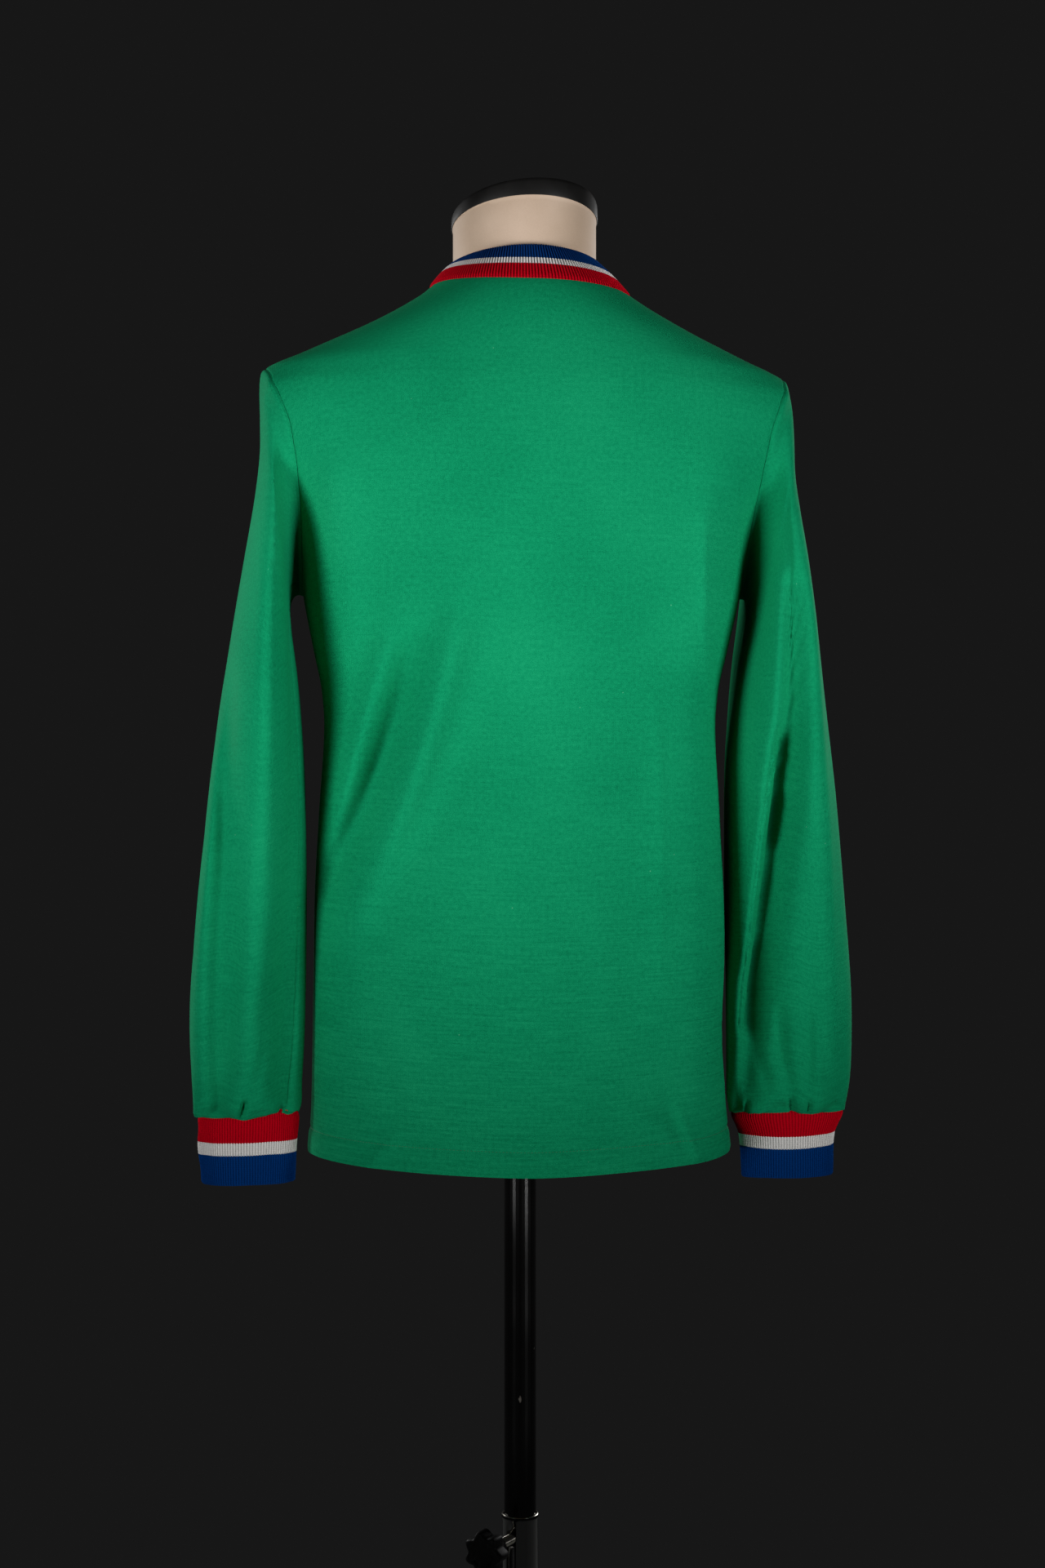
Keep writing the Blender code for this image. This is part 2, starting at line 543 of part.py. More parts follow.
def add_sleeve(arm, material):
    """A set-in sleeve: it starts round the armhole, fans down over the arm and ends at the cuff."""
    around = turn_angles(SLEEVE_POINTS)
    half = np.where(around > pi, 1, 0)
    alpha = np.where(around > pi, 2 * pi - around, around)
    theta, z = armhole_angles(alpha, half)
    outside = np.array([1.0, 0.0, 0.0])
    first_outer, first_inner = edge_loops(theta, z, outside, CLOTH)
    rows = np.array(SLEEVE)
    column = {c: rows[:, i:i + 1] for i, c in enumerate(SLEEVE_COLUMNS)}
    count = np.arange(len(SLEEVE))
    along = (count / count[-1])[:, None]
    settle = np.clip(count[:, None] / SETTLE_ROWS, 0, 1) * np.clip((1 - along) / SETTLE_END, 0, 1)
    full = arm["full_high"] * (1 - along) + arm["full_low"] * along
    column["outer_x"] = column["outer_x"] + full * settle
    mid_x = (column["outer_x"] + column["inner_x"]) / 2
    mid_z = (column["outer_z"] + column["inner_z"]) / 2
    half_x = (column["outer_x"] - column["inner_x"]) / 2
    half_z = (column["outer_z"] - column["inner_z"]) / 2
    around = around[None, :]
    rings = np.stack(
        [
            mid_x + half_x * np.cos(around),
            column["centre"] - column["half_depth"] * np.sin(around),
            mid_z + half_z * np.cos(around),
        ],
        axis=-1,
    )
    # Near the armhole the rings keep the armhole's own bend.
    tip, underarm = first_outer[0], first_outer[ARMHOLE_ROWS]
    back, front = first_outer[ARMHOLE_ROWS // 2], first_outer[ARMHOLE_ROWS * 3 // 2]
    plain = np.stack(
        [
            (tip[0] + underarm[0]) / 2 + (tip[0] - underarm[0]) / 2 * np.cos(around[0]),
            (back[1] + front[1]) / 2 + (back[1] - front[1]) / 2 * np.sin(around[0]),
            first_outer[:, 2],
        ],
        axis=-1,
    )
    bend = first_outer - plain
    hold = np.exp(-count / BEND_HOLD)[:, None, None]
    rings = rings + bend[None] * hold
    all_rings = np.concatenate([first_outer[None], rings])
    down = np.gradient(all_rings, axis=0)
    across = np.roll(all_rings, -1, axis=1) - np.roll(all_rings, 1, axis=1)
    outward = unit(np.cross(down, across))
    middle = all_rings.mean(axis=1, keepdims=True)
    outward = outward * np.sign(np.sum(outward * (all_rings - middle), axis=-1)).mean()
    fold_along = np.concatenate([[[0.0]], along])
    lift = long_fold_height(arm["folds"], fold_along, around)
    lift = lift * np.clip(fold_along / FOLD_START, 0, 1) * np.clip((1 - fold_along) / FOLD_END, 0, 1)
    lift = lift + gather_height(arm["gathers"], fold_along, around)
    outer = all_rings + outward * lift[..., None]
    inner = outer - outward * CLOTH
    inner[0] = first_inner
    for i, share in enumerate(fold_along[:, 0]):
        outer[i] = hang(outer[i], arm, share)
        inner[i] = hang(inner[i], arm, share)
    return wall_tube("sleeve_" + arm["name"], swayed(outer), swayed(inner), material)


def add_cuff(arm, material):
    """A straight rib cuff, folded double, hanging from the gathered end of the sleeve."""
    around = turn_angles(CUFF_SIDES)
    rings = []
    for down, half_width, half_depth in CUFF:
        ring_x = CUFF_CENTRE_X + half_width * np.cos(around)
        ring_y = CUFF_CENTRE_Y - half_depth * np.sin(around)
        rings.append(np.stack([ring_x, ring_y, CUFF_TOP_Z - down + 0 * around], axis=-1))
    plain = np.array(rings)
    middle = plain.mean(axis=1, keepdims=True)
    inward = unit((middle - plain) * np.array([1, 4, 0]))
    inner = hang(plain + inward * RIB_CLOTH, arm, 1.0)
    outer = hang(ribbed(plain, CUFF_STEPS), arm, 1.0)
    return wall_tube("cuff_" + arm["name"], outer, inner, material)


def add_collar(material):
    """The rib neckband, from the neckline up to its folded edge."""
    count = 2 * PANEL_COLUMNS
    phi = turn_angles(count)
    half = np.where(phi > pi, 2 * pi - phi, phi)
    theta, z = neck_angles(half)
    theta = np.where(phi > pi, 2 * pi - theta, theta)
    up = np.array([0.0, 0.0, 1.0])
    first_outer, first_inner = edge_loops(theta, z, up, RIB_CLOTH)
    back = np.cos(phi) > 0
    end_y = np.where(back, COLLAR_BACK[0], COLLAR_FRONT[0])
    end_z = np.where(back, COLLAR_BACK[1], COLLAR_FRONT[1])
    level = np.abs(np.cos(phi))
    top_outer = np.stack(
        [
            COLLAR_SIDE[0] * np.sin(phi),
            NECK_CENTRE_Y + (end_y - NECK_CENTRE_Y) * level,
            COLLAR_SIDE[1] + (end_z - COLLAR_SIDE[1]) * level ** 2,
        ],
        axis=-1,
    )
    middle_outer = (first_outer + top_outer) / 2
    rings = np.array([first_outer, middle_outer, top_outer])
    across = np.roll(rings, -1, axis=1) - np.roll(rings, 1, axis=1)
    rise = np.array([top_outer - first_outer] * 3)
    outward = unit(np.cross(across, rise))
    rings[1] += outward[1] * COLLAR_SWELL
    inner = np.array([first_inner, top_outer - outward[2] * RIB_CLOTH])
    outer = ribbed(rings, COLLAR_STEPS)
    return wall_tube("collar", swayed(outer), swayed(inner), material)


# ---- The dress form and its stand ---------------------------------------------------------------
def ring_body(name, rings, material):
    """A closed body through rings of points, with flat ends."""
    count, sides = rings.shape[:2]
    faces = sheet_faces(count, sides, 0, True)
    faces.append(tuple(range(sides)))
    faces.append(tuple((count - 1) * sides + i for i in range(sides)))
    return add_mesh(name, rings.reshape(-1, 3), faces, material)


def add_form(material):
    """The limbless form: level sections up to the neck, whose top leans down to the front."""
    theta = turn_angles(FORM_SIDES)
    rings = [section_point(FORM, FORM_COLUMNS, theta, np.full(FORM_SIDES, row[0])) for row in FORM]
    top = rings[-1].copy()
    top[:, 2] = NECK_TOP_Z - tan(radians(NECK_TILT)) * (top[:, 1] - NECK_CENTRE_Y)
    rings.append(top)
    form = ring_body("dress_form", swayed(np.array(rings)), material)
    cutter = round_bar("socket_cutter", POLE_RADIUS + RUN, SOCKET_DEPTH + 0.01, material)
    cutter.location = (0, 0, FORM_BOTTOM_Z + SOCKET_DEPTH / 2 - 0.005)
    cut(form, cutter)
    return form


def round_bar(name, radius, length, material, sides=ROUND_SIDES):
    """A round bar along Z, centred on its own origin."""
    bpy.ops.mesh.primitive_cylinder_add(vertices=sides, radius=radius, depth=length)
    bar = bpy.context.object
    bar.name = name
    bar.data.name = name
    for collection in list(bar.users_collection):
        collection.objects.unlink(bar)
    parts.objects.link(bar)
    bar.data.shade_smooth()
    bar.data.set_sharp_from_angle(angle=radians(40))
    bar.data.materials.append(material)
    return bar


def cut(thing, cutter, operation="DIFFERENCE"):
    """Cuts a thing by a cutter, or joins them. The cutter moves to the cutters' collection."""
    modifier = thing.modifiers.new("cut_" + cutter.name, "BOOLEAN")
    modifier.operation = operation
    modifier.solver = "EXACT"
    modifier.object = cutter
    for collection in list(cutter.users_collection):
        collection.objects.unlink(cutter)
    cutters.objects.link(cutter)
    cutter.hide_render = True
    cutter.display_type = "WIRE"


def bevel(thing, width, segments=2, angle=50.0):
    modifier = thing.modifiers.new("edge", "BEVEL")
    modifier.width = width
    modifier.segments = segments
    modifier.limit_method = "ANGLE"
    modifier.angle_limit = radians(angle)


def add_neck_cap(material):
    """The flat cap on the neck, with a rounded upper edge, in the neck top's own plane."""
    lean = Matrix.Rotation(-radians(NECK_TILT), 4, "X")
    cap = round_bar("neck_cap", CAP_RADIUS, CAP_HEIGHT, material, FORM_SIDES)
    build = bmesh.new()
    build.from_mesh(cap.data)
    upper = [e for e in build.edges if all(v.co.z > 0 for v in e.verts)]
    bmesh.ops.bevel(build, geom=upper, offset=CAP_ROUND, segments=3, profile=0.5, affect="EDGES")
    build.to_mesh(cap.data)
    build.free()
    centre = Vector(swayed(np.array([0, NECK_CENTRE_Y, NECK_TOP_Z])))
    rise = lean @ Vector((0, 0, CAP_HEIGHT / 2 + SEAM_GAP))
    cap.matrix_world = Matrix.Translation(centre + rise) @ lean
    return cap


def turned_ring(name, profile, material):
    """A ring turned about Z from a closed profile of (radius, z) points."""
    mesh = bpy.data.meshes.new(name)
    edges = [(i, (i + 1) % len(profile)) for i in range(len(profile))]
    mesh.from_pydata([(r, 0, z) for r, z in profile], edges, [])
    ring = bpy.data.objects.new(name, mesh)
    parts.objects.link(ring)
    turn = ring.modifiers.new("turn", "SCREW")
    turn.steps = ROUND_SIDES
    turn.render_steps = ROUND_SIDES
    turn.use_merge_vertices = True
    turn.merge_threshold = 0.00005
    turn.use_smooth_shade = False
    mesh.materials.append(material)
    return ring


def add_outer_tube(material):
    """The fixed tube, with a flange at its foot and a hole for the clamp screw near its top."""
    bore = POLE_RADIUS + RUN
    outside = bore + TUBE_WALL
    foot = BASE_HEIGHT + SEAM_GAP
    profile = [
        (outside, TUBE_TOP_Z),
        (outside, foot + FLANGE_HEIGHT),
        (FLANGE_RADIUS, foot + FLANGE_HEIGHT),
        (FLANGE_RADIUS, foot),
        (bore, foot),
        (bore, TUBE_TOP_Z),
    ]
    tube = turned_ring("outer_tube", profile, material)
    cutter = round_bar("screw_hole", SCREW_RADIUS + RUN, 0.03, material, 16)
    cutter.matrix_world = clamp_frame() @ Matrix.Translation((0, 0, outside))
    cut(tube, cutter)
    return tube


def clamp_frame():
    """The clamp's own frame: its origin is on the pole's axis, and its +Z runs out to the knob."""
    turn = Matrix.Rotation(-radians(CLAMP_AZIMUTH), 4, "Z") @ Matrix.Rotation(pi / 2, 4, "X")
    return Matrix.Translation((0, 0, CLAMP_Z)) @ turn


def add_clamp(knob_material, screw_material):
    """The plated screw that presses on the pole, and the star knob moulded round its head."""
    axis = bpy.data.objects.new("clamp_axis", None)
    parts.objects.link(axis)
    axis.matrix_world = clamp_frame()
    start = POLE_RADIUS + RUN
    screw = round_bar("clamp_screw", SCREW_RADIUS, SCREW_LENGTH, screw_material, 16)
    screw.parent = axis
    screw.location = (0, 0, start + SCREW_LENGTH / 2)
    head = start + SCREW_LENGTH + SEAM_GAP
    profile = []
    for i in range(KNOB_LOBES * 6):
        angle = i * 2 * pi / (KNOB_LOBES * 6)
        radius = KNOB_RADIUS + KNOB_LOBE * cos(KNOB_LOBES * angle)
        profile.append((radius * cos(angle), radius * sin(angle)))
    low = [(x, y, head) for x, y in profile]
    high = [(x, y, head + KNOB_LENGTH) for x, y in profile]
    knob = ring_body("clamp_knob", np.array([low, high]), knob_material)
    knob.parent = axis
    bevel(knob, EDGE_ROUND)
    hub = round_bar("clamp_hub", HUB_RADIUS, HUB_LENGTH + HUB_BURY, knob_material, 20)
    hub.parent = axis
    hub.location = (0, 0, head + (HUB_BURY - HUB_LENGTH) / 2)
    well = round_bar("screw_well", SCREW_RADIUS + RUN, 2 * WELL_DEPTH, knob_material, 16)
    well.parent = axis
    well.location = (0, 0, head - WELL_DEPTH)
    cut(knob, hub, "UNION")
    cut(knob, well)
    return knob


def add_stand(paint, base_paint):
    """The sliding pole and the round base plate."""
    top = FORM_BOTTOM_Z + SOCKET_DEPTH - SEAM_GAP
    pole = round_bar("pole", POLE_RADIUS, top - POLE_BOTTOM_Z, paint)
    pole.location = (0, 0, (top + POLE_BOTTOM_Z) / 2)
    plate = round_bar("base_plate", BASE_RADIUS, BASE_HEIGHT, base_paint, 48)
    plate.location = (0, 0, BASE_HEIGHT / 2)
    bevel(plate, EDGE_ROUND)
    add_outer_tube(paint)


def main():
    for thing in list(bpy.data.objects):
        bpy.data.objects.remove(thing, do_unlink=True)
    for collection in (parts, cutters):
        bpy.context.scene.collection.children.link(collection)
    green = principled("green_interlock", (0.008, 0.235, 0.105), 0.85)
    rib = principled("striped_rib", (0.17, 0.004, 0.008), 0.85)
    linen = principled("cream_fabric", (0.56, 0.45, 0.35), 0.9)
    plastic = principled("black_plastic", (0.012, 0.012, 0.012), 0.45)
    paint = principled("black_paint", (0.006, 0.006, 0.006), 0.2)
    plated = principled("plated_steel", (0.75, 0.75, 0.75), 0.25, 1.0)
    add_panel("back_panel", False, BACK_FOLDS, green)
    add_panel("front_panel", True, FRONT_FOLDS, green)
    for row in ARMS:
        arm = dict(zip(ARM_KEYS, row))
        add_sleeve(arm, green)
        add_cuff(arm, rib)
    add_collar(rib)
    add_form(linen)
    add_neck_cap(plastic)
    add_stand(paint, paint)
    add_clamp(plastic, plated)


parts = bpy.data.collections.new("football_jersey")
cutters = bpy.data.collections.new("cutters")
main()
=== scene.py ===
# %% [markdown]
# # A football jersey on a dress form
#
# The imported CAD model gives the frame: every piece below sits where its CAD node sits, in metres,
# +Z up, with the back of the jersey towards -Y and the wearer's right towards +X.

# %% Load the frame
from math import cos, pi, radians, sin, tan

import bmesh
import bpy
import numpy as np
from mathutils import Matrix, Vector


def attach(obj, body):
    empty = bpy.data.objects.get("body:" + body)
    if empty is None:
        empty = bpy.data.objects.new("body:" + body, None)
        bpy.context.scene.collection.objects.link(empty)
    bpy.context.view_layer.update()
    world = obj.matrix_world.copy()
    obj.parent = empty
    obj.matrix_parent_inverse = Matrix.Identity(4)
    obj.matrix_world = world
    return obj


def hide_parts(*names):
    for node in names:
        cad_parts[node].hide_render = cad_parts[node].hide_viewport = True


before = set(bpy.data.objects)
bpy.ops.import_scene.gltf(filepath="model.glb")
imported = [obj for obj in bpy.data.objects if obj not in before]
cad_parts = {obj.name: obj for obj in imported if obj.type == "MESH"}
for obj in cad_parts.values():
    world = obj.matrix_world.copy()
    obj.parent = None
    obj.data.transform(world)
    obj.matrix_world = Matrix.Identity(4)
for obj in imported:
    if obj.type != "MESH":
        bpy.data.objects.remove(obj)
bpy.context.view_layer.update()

print("CAD nodes:", sorted(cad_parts))

# %% [markdown]
# ## Colours and nodes
#
# Paint charts and photographs give colours as sRGB hex values, while Blender's sockets want linear
# light, so one function turns the first into the second. Materials and Geometry Nodes are both
# graphs, and one helper is enough for either: it adds a node, sets its properties, and fills its
# inputs with numbers or with links from earlier nodes.

# %% Colour and node helpers
def linear(hex_colour):
    """An sRGB hex value as linear RGBA."""
    parts = [int(hex_colour[i : i + 2], 16) / 255 for i in (1, 3, 5)]
    return tuple(c / 12.92 if c <= 0.04045 else ((c + 0.055) / 1.055) ** 2.4 for c in parts) + (1.0,)


def add_node(tree, kind, inputs=None, **settings):
    """Adds a node. Inputs are named or numbered sockets, given a value or another node's output."""
    node = tree.nodes.new(kind)
    for name, value in settings.items():
        setattr(node, name, value)
    for key, value in (inputs or {}).items():
        if isinstance(value, bpy.types.NodeSocket):
            tree.links.new(value, node.inputs[key])
        else:
            node.inputs[key].default_value = value
    return node


def new_material(name, **sockets):
    """A material whose even values sit on the shader's own sockets."""
    material = bpy.data.materials.new(name)
    material.use_nodes = True
    shader = material.node_tree.nodes["Principled BSDF"]
    for key, value in sockets.items():
        shader.inputs[key.replace("_", " ")].default_value = value
    return material, material.node_tree, shader


print("sRGB #808080 is", round(linear("#808080")[0], 3), "in linear light")


# %% [markdown]
# ## The dyed interlock knit
#
# The jersey is cotton interlock: a double knit whose face shows fine upright wales, about 0.9 mm
# apart, crossed by courses. After years of washing the dye is a little uneven, the face has a short
# fuzz, and slubs in the yarn lie as thin streaks along the courses. Real loops could be modelled,
# but half a million of them would cost far more than they show, so the loops are drawn: the UV map
# holds the cloth's own millimetres, wales and courses follow it, and the fuzz is the shader's sheen.

# %% Cotton interlock
WALE_MM = 1.5           # 0.9 on the real cloth; drawn coarser, or it would not show
COURSE_MM = 1.3
SLUB_LENGTH_MM = 34.0
SLUB_HEIGHT_MM = 1.6


def cotton_interlock(name, dark, middle, light):
    """Dyed cotton interlock. A cut and sewn cloth: matt, fuzzy, with faint streaks along its courses."""
    material, tree, shader = new_material(
        name, Roughness=0.90, Specular_IOR_Level=0.03,
        Sheen_Weight=0.08, Sheen_Roughness=0.5, Sheen_Tint=linear("#3fc98a"),
    )
    cloth = add_node(tree, "ShaderNodeUVMap", uv_map="cloth").outputs[0]
    # Slubs: noise drawn out along the courses.
    slub_size = (1000 / SLUB_LENGTH_MM, 1000 / SLUB_HEIGHT_MM, 1.0)
    slub_at = add_node(tree, "ShaderNodeMapping", {"Vector": cloth, "Scale": slub_size}).outputs[0]
    slub = add_node(tree, "ShaderNodeTexNoise", {"Vector": slub_at, "Scale": 1.0, "Detail": 2.0}).outputs[0]
    # Fuzz: fine grain of the raised fibres, and the soft mottling of the nap.
    fuzz = add_node(
        tree, "ShaderNodeTexNoise", {"Vector": cloth, "Scale": 1700.0, "Detail": 3.0}
    ).outputs[0]
    nap = add_node(tree, "ShaderNodeTexNoise", {"Vector": cloth, "Scale": 330.0, "Detail": 2.0}).outputs[0]
    # Uneven dye over a hand's width.
    place = add_node(tree, "ShaderNodeTexCoord").outputs["Object"]
    wear = add_node(tree, "ShaderNodeTexNoise", {"Vector": place, "Scale": 9.0, "Detail": 3.0}).outputs[0]
    # Streaks show most towards the hem, where the cloth hangs free.
    height = add_node(tree, "ShaderNodeSeparateXYZ", {"Vector": cloth}).outputs["Y"]
    low = add_node(
        tree, "ShaderNodeMapRange",
        {"Value": height, "From Min": 0.05, "From Max": 0.36, "To Min": 1.0, "To Max": 0.35},
    ).outputs[0]
    slub_shade = add_node(tree, "ShaderNodeMath", {0: slub, 1: 0.5}, operation="SUBTRACT").outputs[0]
    slub_shade = add_node(tree, "ShaderNodeMath", {0: slub_shade, 1: low}, operation="MULTIPLY").outputs[0]
    shade = add_node(
        tree, "ShaderNodeMath", {0: slub_shade, 1: 0.34, 2: 0.5}, operation="MULTIPLY_ADD"
    ).outputs[0]
    for noise, strength in ((fuzz, 0.8), (nap, 0.30), (wear, 0.28)):
        swing = add_node(tree, "ShaderNodeMath", {0: noise, 1: 0.5}, operation="SUBTRACT").outputs[0]
        shade = add_node(
            tree, "ShaderNodeMath", {0: swing, 1: strength, 2: shade}, operation="MULTIPLY_ADD"
        ).outputs[0]
    ramp = add_node(tree, "ShaderNodeValToRGB", {"Fac": shade})
    ramp.color_ramp.elements[0].position = 0.20
    ramp.color_ramp.elements[0].color = linear(dark)
    ramp.color_ramp.elements[1].position = 0.84
    ramp.color_ramp.elements[1].color = linear(light)
    ramp.color_ramp.elements.new(0.52).color = linear(middle)
    # Lint: here and there a pale fleck of fibre, half a millimetre wide.
    spots = add_node(tree, "ShaderNodeTexVoronoi", {"Vector": cloth, "Scale": 75.0})
    small = add_node(
        tree, "ShaderNodeMapRange",
        {
            "Value": spots.outputs["Distance"],
            "From Min": 0.018, "From Max": 0.045, "To Min": 1.0, "To Max": 0.0,
        },
    ).outputs[0]
    rare = add_node(
        tree, "ShaderNodeMath", {0: spots.outputs["Color"], 1: 0.72}, operation="GREATER_THAN"
    ).outputs[0]
    lint = add_node(tree, "ShaderNodeMath", {0: small, 1: rare}, operation="MULTIPLY").outputs[0]
    dyed = add_node(
        tree, "ShaderNodeMix", {0: lint, 6: ramp.outputs[0], 7: linear("#5fb88e")}, data_type="RGBA"
    ).outputs[2]
    tree.links.new(dyed, shader.inputs["Base Color"])
    # Wales and courses as relief.
    knit_size = (2000 * pi / WALE_MM, 2000 * pi / COURSE_MM, 1.0)
    knit_at = add_node(
        tree, "ShaderNodeVectorMath", {0: cloth, 1: knit_size}, operation="MULTIPLY"
    ).outputs[0]
    turns = add_node(tree, "ShaderNodeSeparateXYZ", {"Vector": knit_at})
    wale = add_node(tree, "ShaderNodeMath", {0: turns.outputs["X"]}, operation="SINE").outputs[0]
    course = add_node(tree, "ShaderNodeMath", {0: turns.outputs["Y"]}, operation="SINE").outputs[0]
    relief = wale
    for part, strength in ((course, 0.5), (fuzz, 2.2), (slub_shade, 0.6)):
        relief = add_node(
            tree, "ShaderNodeMath", {0: part, 1: strength, 2: relief}, operation="MULTIPLY_ADD"
        ).outputs[0]
    bump = add_node(tree, "ShaderNodeBump", {"Height": relief, "Strength": 0.25, "Distance": 0.00010})
    tree.links.new(bump.outputs[0], shader.inputs["Normal"])
    return material


green_knit = cotton_interlock("cotton interlock, dyed green", "#006440", "#0c9060", "#22a973")
print("made", green_knit.name)

# %% [markdown]
# ## The rib knit
#
# Neckband and cuffs are 1 x 1 rib, knitted in three bands. Where one yarn gives way to the next, the
# boundary is not a straight line: each wale ends in a rounded loop, so the colours meet in small
# teeth. The UV map counts wales across and millimetres down, which makes the teeth a simple wave
# added to the height before the bands are told apart.

# %% Striped rib
RED = "#c6001a"
WHITE = "#efece9"
BLUE = "#00387a"
TOOTH_MM = 0.28
LOOP_MM = 1.6


def striped_rib(name, depth_mm, valley_painted_shade, bands):
    """Rib knit in bands, each given as (where it starts in mm, colour), with painted shade in the valleys
    between wales.
    """
    material, tree, shader = new_material(
        name, Roughness=0.9, Specular_IOR_Level=0.02, Sheen_Weight=0.02, Sheen_Roughness=0.5
    )
    cloth = add_node(tree, "ShaderNodeUVMap", uv_map="cloth").outputs[0]
    split = add_node(tree, "ShaderNodeSeparateXYZ", {"Vector": cloth})
    turn = add_node(
        tree, "ShaderNodeMath", {0: split.outputs["X"], 1: 2 * pi}, operation="MULTIPLY"
    ).outputs[0]
    tooth = add_node(tree, "ShaderNodeMath", {0: turn}, operation="COSINE").outputs[0]
    down = add_node(
        tree, "ShaderNodeMath",
        {0: tooth, 1: TOOTH_MM / 1000, 2: split.outputs["Y"]}, operation="MULTIPLY_ADD",
    ).outputs[0]
    share = add_node(tree, "ShaderNodeMath", {0: down, 1: 1000 / depth_mm}, operation="MULTIPLY").outputs[0]
    ramp = add_node(tree, "ShaderNodeValToRGB", {"Fac": share})
    ramp.color_ramp.interpolation = "CONSTANT"
    stops = ramp.color_ramp.elements
    stops[0].position, stops[0].color = 0.0, linear(bands[0][1])
    stops[1].position, stops[1].color = bands[1][0] / depth_mm, linear(bands[1][1])
    stops.new(bands[2][0] / depth_mm).color = linear(bands[2][1])
    # Painted shade: the colour is darkened in the valley between two wales, and each loop gets a faint
    # painted highlight. The loops are also a real bump.
    loop_relief_and_highlight = add_node(
        tree, "ShaderNodeMath", {0: split.outputs["Y"], 1: 2000 * pi / LOOP_MM}, operation="MULTIPLY"
    ).outputs[0]
    loop_relief_and_highlight = add_node(tree, "ShaderNodeMath", {0: loop_relief_and_highlight}, operation="SINE").outputs[0]
    yarn_size = (0.45, 620.0, 1.0)
    yarn_at = add_node(
        tree, "ShaderNodeVectorMath", {0: cloth, 1: yarn_size}, operation="MULTIPLY"
    ).outputs[0]
    yarn = add_node(tree, "ShaderNodeTexNoise", {"Vector": yarn_at, "Scale": 3.0, "Detail": 2.0}).outputs[0]
    painted_wale_shade = add_node(tree, "ShaderNodeMath", {0: tooth, 1: 0.5, 2: 0.5}, operation="MULTIPLY_ADD").outputs[0]
    painted_wale_shade = add_node(tree, "ShaderNodeMath", {0: painted_wale_shade, 1: 0.7}, operation="POWER").outputs[0]
    shade = add_node(
        tree, "ShaderNodeMath", {0: painted_wale_shade, 1: 0.98 - valley_painted_shade, 2: valley_painted_shade}, operation="MULTIPLY_ADD"
    ).outputs[0]
    shade = add_node(
        tree, "ShaderNodeMath", {0: loop_relief_and_highlight, 1: 0.03, 2: shade}, operation="MULTIPLY_ADD"
    ).outputs[0]
    shade = add_node(
        tree, "ShaderNodeMath", {0: yarn, 1: 0.35, 2: shade}, operation="MULTIPLY_ADD"
    ).outputs[0]
    colour = add_node(
        tree, "ShaderNodeVectorMath", {0: ramp.outputs[0], "Scale": shade}, operation="SCALE"
    ).outputs[0]
    tree.links.new(colour, shader.inputs["Base Color"])
    relief = add_node(
        tree, "ShaderNodeMath", {0: yarn, 1: 1.5, 2: loop_relief_and_highlight}, operation="MULTIPLY_ADD"
    ).outputs[0]
    bump = add_node(tree, "ShaderNodeBump", {"Height": relief, "Strength": 0.35, "Distance": 0.0002})
    tree.links.new(bump.outputs[0], shader.inputs["Normal"])
    return material


# The third number is how bright the painted shade leaves each valley between two wales.
collar_rib = striped_rib("rib knit, neckband", 32.0, 0.10, ((0.0, RED), (13.8, WHITE), (19.8, BLUE)))
cuff_rib = striped_rib("rib knit, cuffs", 50.0, 0.45, ((0.0, RED), (17.6, WHITE), (27.3, BLUE)))
print("made", collar_rib.name, "and", cuff_rib.name)

# %% [markdown]
# ## Thread, cover, plastic, enamel and plating
#
# The other finishes are plainer. The form's cover is a stretched cream knit, almost smooth, a little
# stained. The cap and the knob are moulded ABS with a faint grain. The tubes are steel in gloss
# enamel: a clear reflection with small chips and rubbed streaks where the tubes slide. The base
# plate has a satin powder coat, which spreads the reflection of a lamp. The clamp screw is zinc
# plated, bright and slightly yellow.

# %% The other finishes
def sewing_thread(name, colour):
    """Spun polyester: a twisted yarn, a little glossier than the cloth."""
    material, tree, shader = new_material(name, Roughness=0.55, Sheen_Weight=0.2)
    place = add_node(tree, "ShaderNodeTexCoord").outputs["Object"]
    grain = add_node(
        tree, "ShaderNodeTexNoise", {"Vector": place, "Scale": 1500.0, "Detail": 1.0}
    ).outputs[0]
    ramp = add_node(tree, "ShaderNodeValToRGB", {"Fac": grain})
    ramp.color_ramp.elements[0].color = linear("#06603a")
    ramp.color_ramp.elements[1].color = linear(colour)
    tree.links.new(ramp.outputs[0], shader.inputs["Base Color"])
    return material


def stretched_cover(name):
    """Cream jersey pulled over the form: smooth, matt, with old pale stains and a fine grain."""
    material, tree, shader = new_material(
        name, Roughness=0.62, Specular_IOR_Level=0.35, Sheen_Weight=0.15
    )
    place = add_node(tree, "ShaderNodeTexCoord").outputs["Object"]
    stain = add_node(tree, "ShaderNodeTexNoise", {"Vector": place, "Scale": 16.0, "Detail": 3.0}).outputs[0]
    weave = add_node(
        tree, "ShaderNodeTexNoise", {"Vector": place, "Scale": 1300.0, "Detail": 1.0}
    ).outputs[0]
    shade = add_node(
        tree, "ShaderNodeMath", {0: weave, 1: 0.25, 2: stain}, operation="MULTIPLY_ADD"
    ).outputs[0]
    ramp = add_node(tree, "ShaderNodeValToRGB", {"Fac": shade})
    ramp.color_ramp.elements[0].position = 0.35
    ramp.color_ramp.elements[0].color = linear("#bfa58c")
    ramp.color_ramp.elements[1].position = 0.85
    ramp.color_ramp.elements[1].color = linear("#d8bfa9")
    tree.links.new(ramp.outputs[0], shader.inputs["Base Color"])
    bump = add_node(tree, "ShaderNodeBump", {"Height": weave, "Strength": 0.3, "Distance": 0.00015})
    tree.links.new(bump.outputs[0], shader.inputs["Normal"])
    return material


